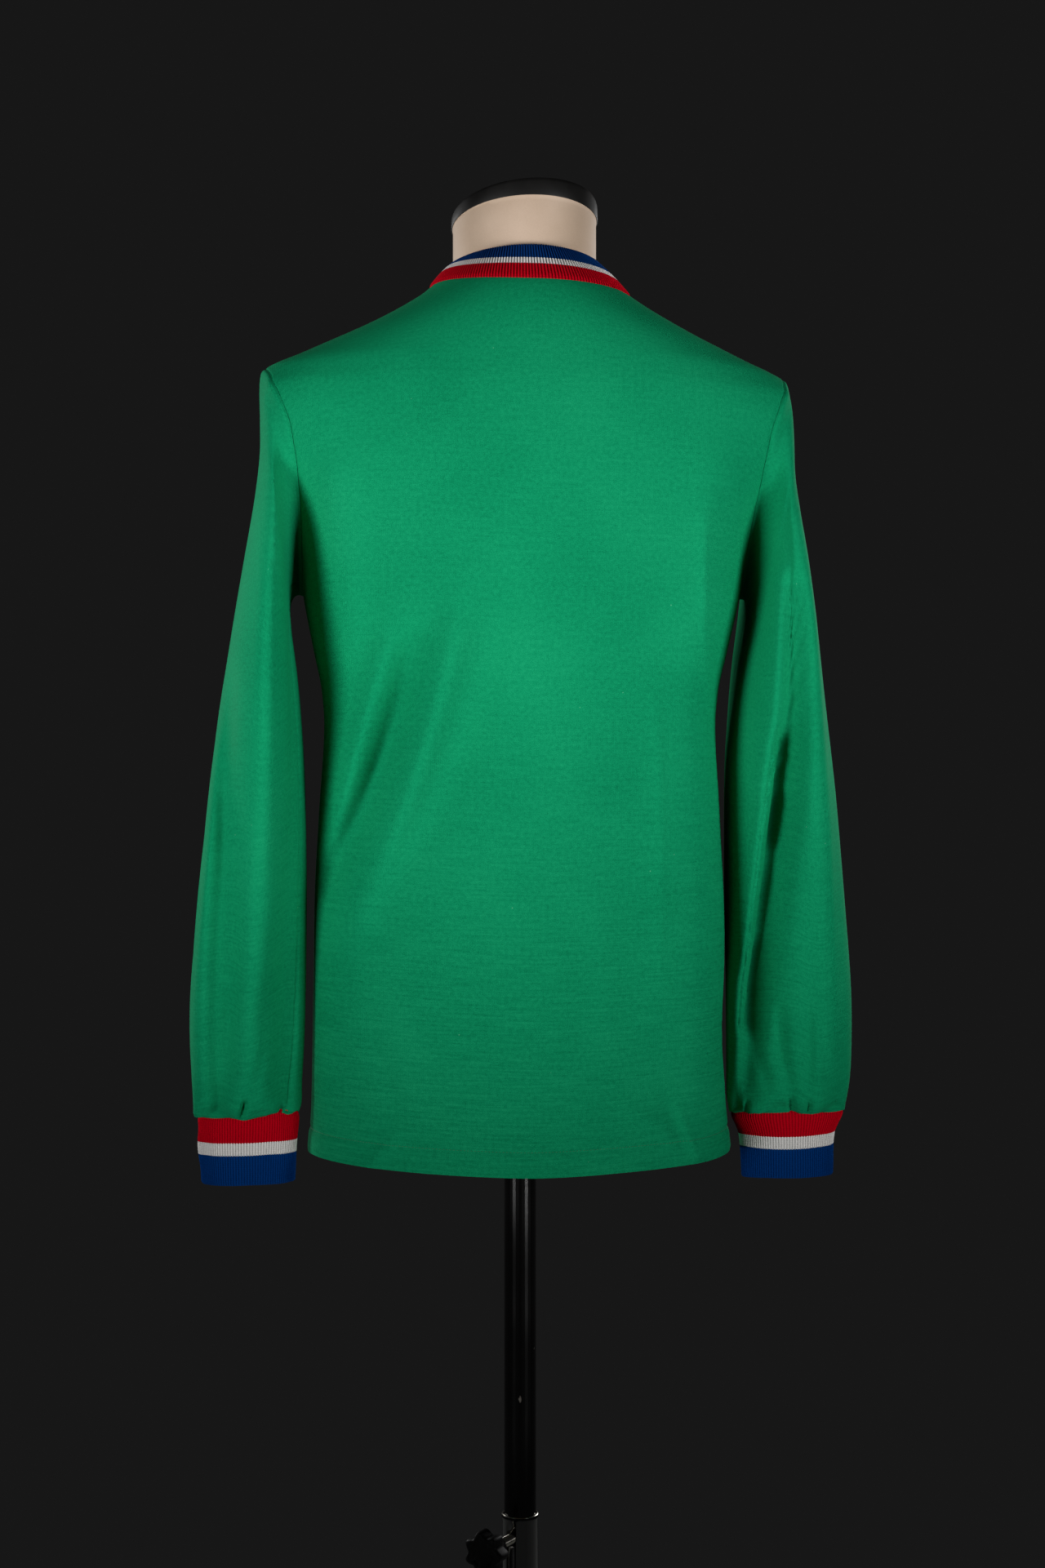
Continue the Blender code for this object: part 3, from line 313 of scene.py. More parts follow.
def moulded_plastic(name):
    """Black ABS from a grained mould: satin, with scuffs that roughen it in places."""
    material, tree, shader = new_material(name, Specular_IOR_Level=0.22)
    place = add_node(tree, "ShaderNodeTexCoord").outputs["Object"]
    grain = add_node(
        tree, "ShaderNodeTexNoise", {"Vector": place, "Scale": 1600.0, "Detail": 1.0}
    ).outputs[0]
    scuff = add_node(tree, "ShaderNodeTexNoise", {"Vector": place, "Scale": 45.0, "Detail": 4.0}).outputs[0]
    rough = add_node(
        tree, "ShaderNodeMapRange",
        {"Value": scuff, "From Min": 0.4, "From Max": 0.7, "To Min": 0.48, "To Max": 0.66},
    ).outputs[0]
    tree.links.new(rough, shader.inputs["Roughness"])
    ramp = add_node(tree, "ShaderNodeValToRGB", {"Fac": scuff})
    ramp.color_ramp.elements[0].color = linear("#0c0c0c")
    ramp.color_ramp.elements[1].color = linear("#161514")
    tree.links.new(ramp.outputs[0], shader.inputs["Base Color"])
    bump = add_node(tree, "ShaderNodeBump", {"Height": grain, "Strength": 0.25, "Distance": 0.0001})
    tree.links.new(bump.outputs[0], shader.inputs["Normal"])
    return material


def black_enamel(name, coat, specular, smoothest, roughest):
    """Black paint on steel: gloss enamel or a satin powder coat, with pale chips and rubbed streaks."""
    material, tree, shader = new_material(
        name, Coat_Weight=coat, Coat_Roughness=0.08, Specular_IOR_Level=specular
    )
    place = add_node(tree, "ShaderNodeTexCoord").outputs["Object"]
    chip_at = add_node(tree, "ShaderNodeMapping", {"Vector": place, "Scale": (1.0, 1.0, 0.35)}).outputs[0]
    chips = add_node(
        tree, "ShaderNodeTexNoise", {"Vector": chip_at, "Scale": 210.0, "Detail": 3.0}
    ).outputs[0]
    where = add_node(tree, "ShaderNodeTexNoise", {"Vector": place, "Scale": 14.0, "Detail": 1.0}).outputs[0]
    worn = add_node(
        tree, "ShaderNodeMapRange",
        {"Value": where, "From Min": 0.50, "From Max": 0.62, "To Min": 0.0, "To Max": 0.055},
    ).outputs[0]
    edge = add_node(tree, "ShaderNodeMath", {0: chips, 1: worn}, operation="ADD").outputs[0]
    mask = add_node(
        tree, "ShaderNodeMapRange",
        {"Value": edge, "From Min": 0.765, "From Max": 0.785, "To Min": 0.0, "To Max": 1.0},
    ).outputs[0]
    colour = add_node(
        tree, "ShaderNodeMix", {0: mask, 6: linear("#0b0a0a"), 7: linear("#8e877f")}, data_type="RGBA"
    ).outputs[2]
    tree.links.new(colour, shader.inputs["Base Color"])
    rough = add_node(
        tree, "ShaderNodeMapRange",
        {"Value": where, "From Min": 0.35, "From Max": 0.7, "To Min": smoothest, "To Max": roughest},
    ).outputs[0]
    tree.links.new(rough, shader.inputs["Roughness"])
    bump = add_node(tree, "ShaderNodeBump", {"Height": chips, "Strength": 0.05, "Distance": 0.0005})
    tree.links.new(bump.outputs[0], shader.inputs["Normal"])
    return material


def zinc_plate(name):
    """Zinc-plated steel: bright metal with a fine turned grain."""
    material, tree, shader = new_material(name, Metallic=1.0, Roughness=0.22)
    place = add_node(tree, "ShaderNodeTexCoord").outputs["Object"]
    grain = add_node(
        tree, "ShaderNodeTexNoise", {"Vector": place, "Scale": 700.0, "Detail": 2.0}
    ).outputs[0]
    ramp = add_node(tree, "ShaderNodeValToRGB", {"Fac": grain})
    ramp.color_ramp.elements[0].color = linear("#a8a49a")
    ramp.color_ramp.elements[1].color = linear("#e2ded2")
    tree.links.new(ramp.outputs[0], shader.inputs["Base Color"])
    bump = add_node(tree, "ShaderNodeBump", {"Height": grain, "Strength": 0.2, "Distance": 0.0001})
    tree.links.new(bump.outputs[0], shader.inputs["Normal"])
    return material


thread = sewing_thread("spun polyester thread, green", "#16905b")
cover = stretched_cover("stretched jersey cover, cream")
plastic = moulded_plastic("moulded ABS, black")
enamel = black_enamel("stoved gloss enamel, black", 0.5, 0.5, 0.12, 0.26)
plate_coat = black_enamel("powder coat, satin black", 0.0, 0.25, 0.50, 0.62)
plated = zinc_plate("zinc-plated steel")
print("made", len(bpy.data.materials), "materials")

# %% [markdown]
# ## The figure under the cloth
#
# The jersey is lofted from tables of level sections, the same ones as its CAD solids. A table of a
# dozen rows is easy to read and to change, and a monotone cubic between its rows gives a smooth
# surface that never bulges between two rows. Each section is a half ellipse behind and another in
# front.

# %% Section tables
CLOTH = 0.0015          # wall of the interlock knit
HEM_CLOTH = 0.0022      # wall where the hem is turned up
RIB_CLOTH = 0.0022      # wall of the folded rib
SEAM_GAP = 0.0003       # between neighbouring pieces
HEM_Z = 0.810           # lower edge of the jersey
HEM_DEPTH = 0.019       # turned hem
HEM_SLOPE = 0.036       # the hem hangs lower towards +X by this much for each metre
HEM_SLOPE_RISE = 0.150  # height over which the slope dies away
UNDERARM_Z = 1.245
TIP_Z = 1.419           # shoulder tip
NECK_SIDES_Z = (1.4848, 1.4774)     # shoulder seam at the neckband: higher on the -X side
NECK_BACK_Z = 1.4775
NECK_FRONT_Z = 1.420
BEND_HOLD = 2.0         # sleeve rows over which the armhole's bend dies away
COLLAR_BACK = (-0.0665, 1.5075)     # y and z of the neckband's upper edge at the back
COLLAR_FRONT = (0.0570, 1.4440)     # the same in front
COLLAR_SIDE = (0.0588, 1.5022)      # x and z at the side
COLLAR_SWELL = 0.0008
SWAY = 0.003            # the form leans this far towards +X above its waist
SWAY_Z = (1.10, 1.35)   # levels between which it comes in
ARMHOLE_TURN = 29.0     # degrees that the armhole cuts into the panel from the side, halfway up
ARMHOLE_LEAN = 12.0     # degrees more that it cuts in nearer the shoulder
CUFF_TOP_Z = 0.8425
CUFF_CENTRE_X = 0.2113
CUFF_CENTRE_Y = -0.010
NECK_CENTRE_Y = -0.004
BODY_COLUMNS = ("z", "half_width", "back", "front", "centre")
BODY = (
    (0.8100, 0.1660, 0.1110, 0.1080, 0.0000),
    (0.8539, 0.1628, 0.1120, 0.1090, 0.0000),
    (0.8827, 0.1622, 0.1130, 0.1100, 0.0000),
    (0.9467, 0.1613, 0.1130, 0.1100, 0.0000),
    (1.0107, 0.1604, 0.1100, 0.1070, 0.0000),
    (1.0747, 0.1572, 0.1050, 0.1030, 0.0000),
    (1.1451, 0.1532, 0.1010, 0.1020, 0.0000),
    (1.1707, 0.1552, 0.1025, 0.1050, 0.0000),
    (1.2027, 0.1620, 0.1065, 0.1090, 0.0000),
    (1.2450, 0.1708, 0.1120, 0.1115, 0.0000),
    (1.2667, 0.1740, 0.1140, 0.1110, 0.0000),
    (1.2900, 0.1801, 0.1153, 0.1095, 0.0000),
    (1.3100, 0.1888, 0.1160, 0.1070, 0.0000),
    (1.3335, 0.2035, 0.1157, 0.1025, -0.0005),
    (1.3650, 0.2230, 0.1135, 0.0955, -0.0010),
    (1.3850, 0.2290, 0.1110, 0.0900, -0.0015),
    (1.4000, 0.2245, 0.1085, 0.0860, -0.0020),
    (1.4100, 0.2135, 0.1060, 0.0825, -0.0025),
    (1.4190, 0.2012, 0.1035, 0.0790, -0.0030),
    (1.4287, 0.1788, 0.1010, 0.0755, -0.0035),
    (1.4416, 0.1504, 0.0970, 0.0715, -0.0045),
    (1.4544, 0.1232, 0.0925, 0.0675, -0.0055),
    (1.4672, 0.0989, 0.0865, 0.0630, -0.0065),
    (1.4802, 0.0790, 0.0775, 0.0585, -0.0080),
    (1.4960, 0.0650, 0.0680, 0.0540, -0.0080),
)
SLEEVE_COLUMNS = ("outer_x", "outer_z", "inner_x", "inner_z", "half_depth", "centre")
SLEEVE = (
    (0.2043, 1.4166, 0.1738, 1.2464, 0.0532, -0.003),
    (0.2056, 1.4110, 0.1772, 1.2452, 0.0548, -0.003),
    (0.2061, 1.4000, 0.1796, 1.2405, 0.0595, -0.003),
    (0.2060, 1.3800, 0.1800, 1.2325, 0.0655, -0.003),
    (0.2064, 1.3530, 0.1792, 1.2230, 0.0722, -0.003),
    (0.2102, 1.3220, 0.1774, 1.2110, 0.0780, -0.004),
    (0.2168, 1.2850, 0.1748, 1.1960, 0.0830, -0.004),
    (0.2240, 1.2400, 0.1718, 1.1760, 0.0850, -0.005),
    (0.2304, 1.1950, 0.1688, 1.1520, 0.0830, -0.006),
    (0.2370, 1.1500, 0.1660, 1.1230, 0.0770, -0.007),
    (0.2436, 1.1000, 0.1645, 1.0900, 0.0680, -0.008),
    (0.2496, 1.0450, 0.1640, 1.0450, 0.0590, -0.009),
    (0.2546, 0.9950, 0.1640, 0.9950, 0.0505, -0.009),
    (0.2580, 0.9450, 0.1642, 0.9450, 0.0435, -0.010),
    (0.2590, 0.9000, 0.1648, 0.9000, 0.0380, -0.010),
    (0.2583, 0.8720, 0.1655, 0.8720, 0.0350, -0.010),
    (0.2563, 0.8560, 0.1660, 0.8560, 0.0320, -0.010),
    (0.2545, 0.8480, 0.1680, 0.8480, 0.0265, -0.010),
    (0.2529, 0.8428, 0.1697, 0.8428, 0.0195, -0.010),
)
print("body rows", len(BODY), "sleeve rows", len(SLEEVE))

# %% [markdown]
# ## Reading the tables
#
# `section_point` turns an angle and a height into a point of the figure. The form leans a little
# towards one side above its waist, as a form on a single pole does, and `swayed` gives that lean to
# any points. Two curves are used again and again below: `eased`, a change without a kink, and
# `bell`, a soft hump.

# %% Surface of the figure
def eased(share):
    """A share from 0 to 1 that sets off and arrives softly."""
    return share * share * (3 - 2 * share)


def bell(away, half):
    """A soft hump of height 1 around zero."""
    return np.exp(-((away / half) ** 2))


def smooth_column(table, columns, name, at):
    """A column of a table as a smooth curve over its first column that never overshoots a row."""
    rows = np.array(table)
    key, value = rows[:, 0], rows[:, columns.index(name)]
    step = np.diff(key)
    slope = np.diff(value) / step
    tangent = np.zeros(len(key))
    tangent[0], tangent[-1] = slope[0], slope[-1]
    same_way = slope[:-1] * slope[1:] > 0
    weight_before, weight_after = 2 * step[1:] + step[:-1], step[1:] + 2 * step[:-1]
    before, after = np.where(same_way, slope[:-1], 1.0), np.where(same_way, slope[1:], 1.0)
    mean = (weight_before + weight_after) / (weight_before / before + weight_after / after)
    tangent[1:-1] = np.where(same_way, mean, 0.0)
    at = np.clip(np.asarray(at, float), key[0], key[-1])
    i = np.clip(np.searchsorted(key, at, side="right") - 1, 0, len(step) - 1)
    t = (at - key[i]) / step[i]
    rise = value[i + 1] - value[i]
    curve = (tangent[i] + tangent[i + 1]) * step[i] - 2 * rise
    bend = 3 * rise - (2 * tangent[i] + tangent[i + 1]) * step[i]
    return value[i] + t * (tangent[i] * step[i] + t * (bend + t * curve))


def body_column(name, z):
    return smooth_column(BODY, BODY_COLUMNS, name, z)


def section_point(theta, z):
    """Points of the figure. Theta is 0 at the back, 90 degrees at +X and 180 in front."""
    depth = np.where(np.cos(theta) > 0, body_column("back", z), body_column("front", z))
    across = body_column("half_width", z) * np.sin(theta)
    return np.stack([across, body_column("centre", z) - depth * np.cos(theta), z + 0 * theta], axis=-1)


def unit(vectors):
    return vectors / np.maximum(np.linalg.norm(vectors, axis=-1, keepdims=True), 1e-12)


def section_normal(theta, z):
    along = section_point(theta + 0.002, z) - section_point(theta - 0.002, z)
    up = section_point(theta, z + 0.0004) - section_point(theta, z - 0.0004)
    return unit(np.cross(along, up))


def swayed(points):
    """The same points with the form's lean towards +X."""
    share = np.clip((points[..., 2] - SWAY_Z[0]) / (SWAY_Z[1] - SWAY_Z[0]), 0, 1)
    return points + (SWAY * eased(share))[..., None] * np.array([1.0, 0.0, 0.0])


def armhole_angles(alpha, half):
    """The armhole at alpha: 0 at the shoulder tip, pi under the arm. half is 1 on the front."""
    turn = radians(ARMHOLE_TURN) * np.sin(alpha) + radians(ARMHOLE_LEAN) * np.sin(2 * alpha)
    z = (TIP_Z + UNDERARM_Z) / 2 + (TIP_Z - UNDERARM_Z) / 2 * np.cos(alpha)
    return pi / 2 + np.where(half > 0, turn, -turn), z


def neck_angles(phi, left):
    """The neckline at phi: 0 at the back and pi in front. left is true on the -X side."""
    low = np.where(np.cos(phi) > 0, NECK_BACK_Z, NECK_FRONT_Z)
    high = np.where(left, NECK_SIDES_Z[0], NECK_SIDES_Z[1])
    z = low + (high - low) * np.sin(phi) ** 2
    side = body_column("half_width", high)
    turn = np.arcsin(np.clip(side * np.sin(phi) / body_column("half_width", z), -1, 1))
    return np.where(np.cos(phi) > 0, turn, pi - turn), z


def grid_normals(grid, closed):
    """Normals of a grid of points by differences along its rows and columns."""
    down = np.gradient(grid, axis=0)
    if closed:
        across = np.roll(grid, -1, axis=1) - np.roll(grid, 1, axis=1)
    else:
        across = np.gradient(grid, axis=1)
    return unit(np.cross(across, down))


print("half chest", round(float(body_column("half_width", 1.36)), 3), "m")

# %% [markdown]
# ## Folds
#
# Cloth that hangs from the shoulders pulls into long soft folds, and it keeps creases from being
# folded and worn. A cloth simulation would give folds of its own, but not the ones that this
# jersey has, so they are listed one by one: each row below is a line through three points (x, z) as
# seen from behind, with a half width and a height in metres. A negative height is a trough. The
# cloth is moved straight back or forward, which keeps the garment's outline as it was cut. The
# front and the hidden side of each sleeve have folds of the same kind.

# %% Fold tables
BACK_FOLDS = (
    (-0.147, 1.040, -0.112, 1.112, -0.088, 1.200, 0.015, -0.0065),
    (-0.150, 1.055, -0.128, 1.130, -0.106, 1.225, 0.014, 0.0040),
    (-0.122, 1.048, -0.080, 1.140, -0.054, 1.250, 0.016, 0.0050),
    (-0.092, 1.050, -0.046, 1.142, -0.016, 1.300, 0.016, -0.0035),
    (0.128, 1.200, 0.131, 1.255, 0.130, 1.310, 0.012, 0.0025),
    (0.094, 0.930, 0.098, 1.040, 0.097, 1.160, 0.016, 0.0025),
    (0.108, 0.845, 0.122, 0.830, 0.137, 0.815, 0.012, 0.0030),
)
FINE_BACK_FOLDS = (
    (-0.154, 1.020, -0.115, 1.106, -0.090, 1.202, 0.0098, -0.0098),
    (-0.157, 1.045, -0.137, 1.106, -0.112, 1.197, 0.0092, 0.0090),
    (-0.130, 1.005, -0.089, 1.106, -0.062, 1.210, 0.0125, 0.0085),
    (-0.135, 0.950, -0.136, 0.985, -0.126, 1.020, 0.0150, 0.0030),
    (-0.132, 1.185, -0.135, 1.233, -0.134, 1.263, 0.0080, 0.0014),
    (-0.042, 0.908, -0.028, 0.902, -0.011, 0.897, 0.0035, -0.0012),
    (-0.013, 0.876, -0.002, 0.874, 0.011, 0.873, 0.0035, -0.0008),
    (-0.061, 0.848, -0.048, 0.849, -0.034, 0.849, 0.0035, -0.0009),
    (0.023, 0.843, 0.043, 0.843, 0.060, 0.843, 0.0035, -0.0009),
    (0.110, 0.854, 0.118, 0.838, 0.127, 0.815, 0.0026, 0.0022),
    (0.101, 0.859, 0.109, 0.843, 0.116, 0.825, 0.0065, -0.0026),
    (0.126, 1.300, 0.128, 1.245, 0.140, 1.165, 0.0050, 0.0024),
    (0.093, 1.160, 0.096, 1.066, 0.093, 0.960, 0.0042, 0.0013),
    (0.040, 1.020, 0.052, 0.950, 0.050, 0.880, 0.0120, 0.0010),
    (-0.120, 0.930, -0.112, 0.890, -0.098, 0.856, 0.0080, -0.0012),
    (0.134, 1.330, 0.130, 1.080, 0.136, 0.840, 0.0300, 0.0120),
    (-0.151, 1.325, -0.148, 1.200, -0.144, 1.105, 0.0200, 0.0105),
    (-0.100, 0.842, -0.112, 0.828, -0.124, 0.812, 0.0050, 0.0020),
    (0.066, 0.860, 0.088, 0.846, 0.106, 0.832, 0.0070, 0.0022),
)
FRONT_FOLDS = (
    (0.140, 1.030, 0.106, 1.100, 0.080, 1.190, 0.016, -0.0055),
    (0.118, 1.035, 0.078, 1.125, 0.050, 1.235, 0.016, 0.0045),
    (-0.140, 1.060, -0.112, 1.120, -0.092, 1.205, 0.015, -0.0045),
    (-0.112, 1.060, -0.082, 1.130, -0.060, 1.240, 0.015, 0.0040),
    (-0.060, 0.900, -0.066, 0.980, -0.062, 1.060, 0.018, 0.0025),
    (0.030, 1.330, 0.000, 1.290, -0.034, 1.322, 0.016, 0.0025),
)
FINE_FRONT_FOLDS = (
    (0.150, 1.040, 0.120, 1.096, 0.100, 1.170, 0.0095, -0.0022),
    (0.092, 1.070, 0.074, 1.126, 0.066, 1.175, 0.0120, -0.0016),
    (-0.152, 0.990, -0.144, 1.030, -0.130, 1.080, 0.0080, -0.0022),
    (0.050, 0.905, 0.034, 0.900, 0.018, 0.896, 0.0035, -0.0010),
    (-0.030, 0.872, -0.016, 0.870, -0.002, 0.871, 0.0035, -0.0008),
    (-0.105, 0.856, -0.112, 0.840, -0.120, 0.818, 0.0028, 0.0020),
    (-0.055, 1.290, -0.052, 1.230, -0.058, 1.160, 0.0100, 0.0012),
    (0.062, 1.300, 0.058, 1.245, 0.060, 1.190, 0.0100, 0.0012),
    (0.044, 1.372, 0.000, 1.352, -0.046, 1.374, 0.0080, 0.0012),
)
LEFT_BACK_FOLDS = (
    (-0.201, 1.343, -0.202, 1.222, -0.197, 1.052, 0.0016, 0.0009),
    (-0.2275, 1.180, -0.2240, 1.020, -0.2275, 0.870, 0.0100, -0.0125),
    (-0.2440, 1.140, -0.2460, 1.010, -0.2455, 0.880, 0.0120, 0.0135),
    (-0.1840, 0.985, -0.1820, 0.930, -0.1840, 0.870, 0.0110, -0.0120),
    (-0.214, 1.076, -0.214, 1.002, -0.217, 0.908, 0.0090, 0.0020),
    (-0.190, 1.330, -0.193, 1.150, -0.194, 0.970, 0.0160, 0.0085),
    (-0.220, 0.944, -0.222, 0.935, -0.222, 0.925, 0.0030, -0.0014),
    (-0.195, 0.953, -0.200, 0.925, -0.211, 0.899, 0.0070, -0.0018),
    (-0.2133, 0.861, -0.2150, 0.854, -0.2178, 0.845, 0.0020, -0.0068),
    (-0.1865, 0.856, -0.1875, 0.851, -0.1880, 0.844, 0.0018, -0.0044),
    (-0.231, 0.871, -0.234, 0.862, -0.235, 0.848, 0.0050, -0.0014),
    (-0.2265, 0.935, -0.2270, 0.905, -0.2255, 0.880, 0.0038, -0.0020),
    (-0.1975, 0.925, -0.2000, 0.895, -0.2080, 0.866, 0.0045, -0.0022),
    (-0.2140, 0.900, -0.2180, 0.880, -0.2260, 0.860, 0.0050, 0.0014),
)
LEFT_FRONT_FOLDS = (
    (-0.205, 1.120, -0.210, 1.040, -0.206, 0.940, 0.0085, -0.0036),
    (-0.222, 1.100, -0.226, 1.010, -0.228, 0.930, 0.0090, 0.0022),
    (-0.190, 1.000, -0.188, 0.950, -0.194, 0.900, 0.0075, -0.0022),
    (-0.224, 0.867, -0.222, 0.858, -0.223, 0.846, 0.0022, -0.0038),
    (-0.195, 0.866, -0.197, 0.858, -0.196, 0.846, 0.0024, -0.0034),
)
RIGHT_BACK_FOLDS = (
    (0.2005, 1.250, 0.1995, 1.150, 0.1935, 1.060, 0.0100, -0.0150),
    (0.1965, 1.130, 0.1875, 1.013, 0.1785, 0.915, 0.0105, -0.0250),
    (0.1840, 0.970, 0.1785, 0.905, 0.1750, 0.858, 0.0085, -0.0150),
    (0.1850, 1.260, 0.1825, 1.160, 0.1770, 1.060, 0.0090, 0.0050),
    (0.1765, 1.080, 0.1710, 1.015, 0.1695, 0.960, 0.0085, 0.0105),
    (0.1690, 0.950, 0.1680, 0.905, 0.1670, 0.860, 0.0080, 0.0030),
    (0.216, 1.151, 0.218, 1.075, 0.221, 1.000, 0.0100, 0.0028),
    (0.229, 1.012, 0.230, 0.955, 0.234, 0.898, 0.0016, 0.0010),
    (0.186, 0.914, 0.191, 0.898, 0.197, 0.884, 0.0045, -0.0020),
    (0.1755, 0.852, 0.1750, 0.847, 0.1745, 0.841, 0.0018, -0.0040),
    (0.2073, 0.856, 0.2091, 0.850, 0.2112, 0.842, 0.0020, -0.0056),
    (0.2211, 0.854, 0.2217, 0.848, 0.2223, 0.842, 0.0018, -0.0050),
    (0.1820, 0.915, 0.1850, 0.890, 0.1895, 0.866, 0.0045, -0.0040),
    (0.1975, 0.925, 0.2010, 0.890, 0.2075, 0.860, 0.0050, -0.0046),
    (0.2250, 0.925, 0.2262, 0.890, 0.2270, 0.860, 0.0040, 0.0016),
    (0.2180, 0.925, 0.2200, 0.895, 0.2200, 0.866, 0.0045, -0.0018),
    (0.236, 0.883, 0.238, 0.867, 0.238, 0.851, 0.0060, -0.0016),
)
RIGHT_FRONT_FOLDS = (
    (0.204, 1.240, 0.200, 1.170, 0.196, 1.100, 0.0070, -0.0026),
    (0.222, 1.120, 0.214, 1.030, 0.206, 0.950, 0.0085, -0.0036),
    (0.196, 1.080, 0.192, 1.010, 0.188, 0.930, 0.0090, 0.0022),
    (0.198, 0.866, 0.200, 0.856, 0.201, 0.840, 0.0024, -0.0036),
    (0.230, 0.866, 0.229, 0.856, 0.228, 0.840, 0.0022, -0.0034),
)
# Folds that run round the sleeve as they go down, and the gathers over the cuffs, as in the solids:
# shares along the sleeve from the armhole to the cuff, and degrees round from the outer side.
LEFT_FOLDS = (
    (0.45, 0.98, 34.0, 74.0, 16.0, -0.0050),
    (0.30, 0.92, 78.0, 116.0, 16.0, 0.0035),
    (0.25, 0.85, 150.0, 128.0, 14.0, -0.0030),
    (0.35, 0.95, 250.0, 286.0, 18.0, -0.0045),
    (0.30, 0.90, 300.0, 318.0, 14.0, 0.0030),
)
RIGHT_FOLDS = (
    (0.16, 0.60, 92.0, 96.0, 15.0, -0.0045),
    (0.55, 0.97, 96.0, 132.0, 16.0, -0.0060),
    (0.25, 0.95, 62.0, 66.0, 14.0, 0.0040),
    (0.40, 0.95, 262.0, 232.0, 18.0, -0.0045),
    (0.30, 0.85, 300.0, 292.0, 14.0, 0.0035),
)
LEFT_GATHERS = (
    (28.0, 13.0, 0.0035), (62.0, 12.0, -0.0050), (95.0, 14.0, 0.0035), (150.0, 13.0, -0.0040),
    (215.0, 13.0, -0.0040), (250.0, 14.0, 0.0035), (290.0, 13.0, -0.0045), (325.0, 12.0, 0.0030),
)
RIGHT_GATHERS = (
    (40.0, 12.0, -0.0035), (74.0, 13.0, 0.0035), (104.0, 12.0, -0.0045), (134.0, 13.0, 0.0035),
    (160.0, 12.0, -0.0035), (222.0, 14.0, -0.0045), (262.0, 13.0, 0.0035), (308.0, 13.0, -0.0040),
)
panel_folds = len(BACK_FOLDS + FINE_BACK_FOLDS + FRONT_FOLDS + FINE_FRONT_FOLDS)
print("folds placed on back and front:", panel_folds)

# %% [markdown]
# A fold dies away to both sides of its line as a bell curve, and towards its two ends. `ripple`
# adds the small unevenness that no cloth is without, from random numbers with a set seed, so that
# each run gives the same cloth.

# %% How high the folds are
def fold_height(folds, x, z, line_steps=31):
    """How far folds push the cloth out at (x, z): soft ridges and troughs along bent lines."""
    height = np.zeros(np.shape(x))
    steps = np.linspace(0, 1, line_steps)
    for x0, z0, x1, z1, x2, z2, half, tall in folds:
        # A curve of second degree, with its pull placed so that it passes through the middle point.
        pull_x, pull_z = 2 * x1 - (x0 + x2) / 2, 2 * z1 - (z0 + z2) / 2
        line_x = (1 - steps) ** 2 * x0 + steps**2 * x2 + 2 * steps * (1 - steps) * pull_x
        line_z = (1 - steps) ** 2 * z0 + steps**2 * z2 + 2 * steps * (1 - steps) * pull_z
        reach = 3 * half
        near = (x > line_x.min() - reach) & (x < line_x.max() + reach)
        near &= (z > line_z.min() - reach) & (z < line_z.max() + reach)
        gap = np.hypot(x[near][:, None] - line_x, z[near][:, None] - line_z)
        nearest = np.argmin(gap, axis=1)
        fade = np.sqrt(np.sin(pi * (0.08 + 0.84 * steps[nearest])))
        height[near] += tall * fade * bell(gap.min(axis=1), half)
    return height


def long_fold_height(folds, along, around):
    """How far folds that run down a sleeve push its cloth out."""
    height = np.zeros(np.broadcast(along, around).shape)
    for start, end, round_start, round_end, half, tall in folds:
        share = (along - start) / (end - start)
        fade = np.sqrt(np.clip(np.sin(pi * np.clip(share, 0, 1)), 0, 1))
        away = (np.degrees(around) - round_start - (round_end - round_start) * share + 180) % 360 - 180
        height = height + tall * fade * bell(away, half)
    return height


GATHER_START, GATHER_RISE, GATHER_END = 0.80, 0.14, 0.035    # shares of the sleeve's length


def gather_height(gathers, along, around):
    """Gathers that start a hand's width above the cuff and are deepest just over it."""
    height = np.zeros(np.broadcast(along, around).shape)
    rise = np.clip((along - GATHER_START) / GATHER_RISE, 0, 1) * np.clip((1 - along) / GATHER_END, 0, 1)
    for place, half, tall in gathers:
        away = (np.degrees(around) - place + 180) % 360 - 180
        height = height + tall * rise * bell(away, half)
    return height


def ripple(u, v, size_u, size_v, seed):
    """Smooth unevenness of about unit height, with hills of the given size in metres."""
    lattice = np.random.default_rng(seed).normal(size=(64, 64))
    x, y = u / size_u + 7.3, v / size_v + 5.1
    i, j = np.floor(x).astype(int), np.floor(y).astype(int)
    a, b = eased(x - i), eased(y - j)
    corner = lambda k, m: lattice[(i + k) % 64, (j + m) % 64]
    low = corner(0, 0) * (1 - a) + corner(1, 0) * a
    high = corner(0, 1) * (1 - a) + corner(1, 1) * a
    return low * (1 - b) + high * b


print("deepest fold of the back:", min(f[-1] for f in BACK_FOLDS), "m")

# %% [markdown]
# ## Making a cloth wall
#
# Every cloth piece is a closed wall: an outer grid of points, an inner grid one cloth thickness
# behind it, and a rim. Solidify could give the thickness, but two grids let the hem be thicker
# than the rest and keep the inner side clean. The UV map, called cloth, holds metres along the
# piece for the knit, or wales and metres for the rib.

# %% Cloth walls
CLOTH_SHARP = 70.0      # degrees between two faces that count as an edge in cloth
HARD_SHARP = 38.0       # the same in the turned and moulded pieces


def grid_faces(rows, columns, closed):
    """Quads between the points of a grid, and the row and column where each starts."""
    r = np.arange(rows - 1)[:, None]
    c = np.arange(columns if closed else columns - 1)[None, :]
    here, beside = r * columns + c, r * columns + (c + 1) % columns
    corners = np.stack([here, beside, beside + columns, here + columns], axis=-1).reshape(-1, 4)
    return corners, np.stack([r + 0 * c, c + 0 * r], axis=-1).reshape(-1, 2)


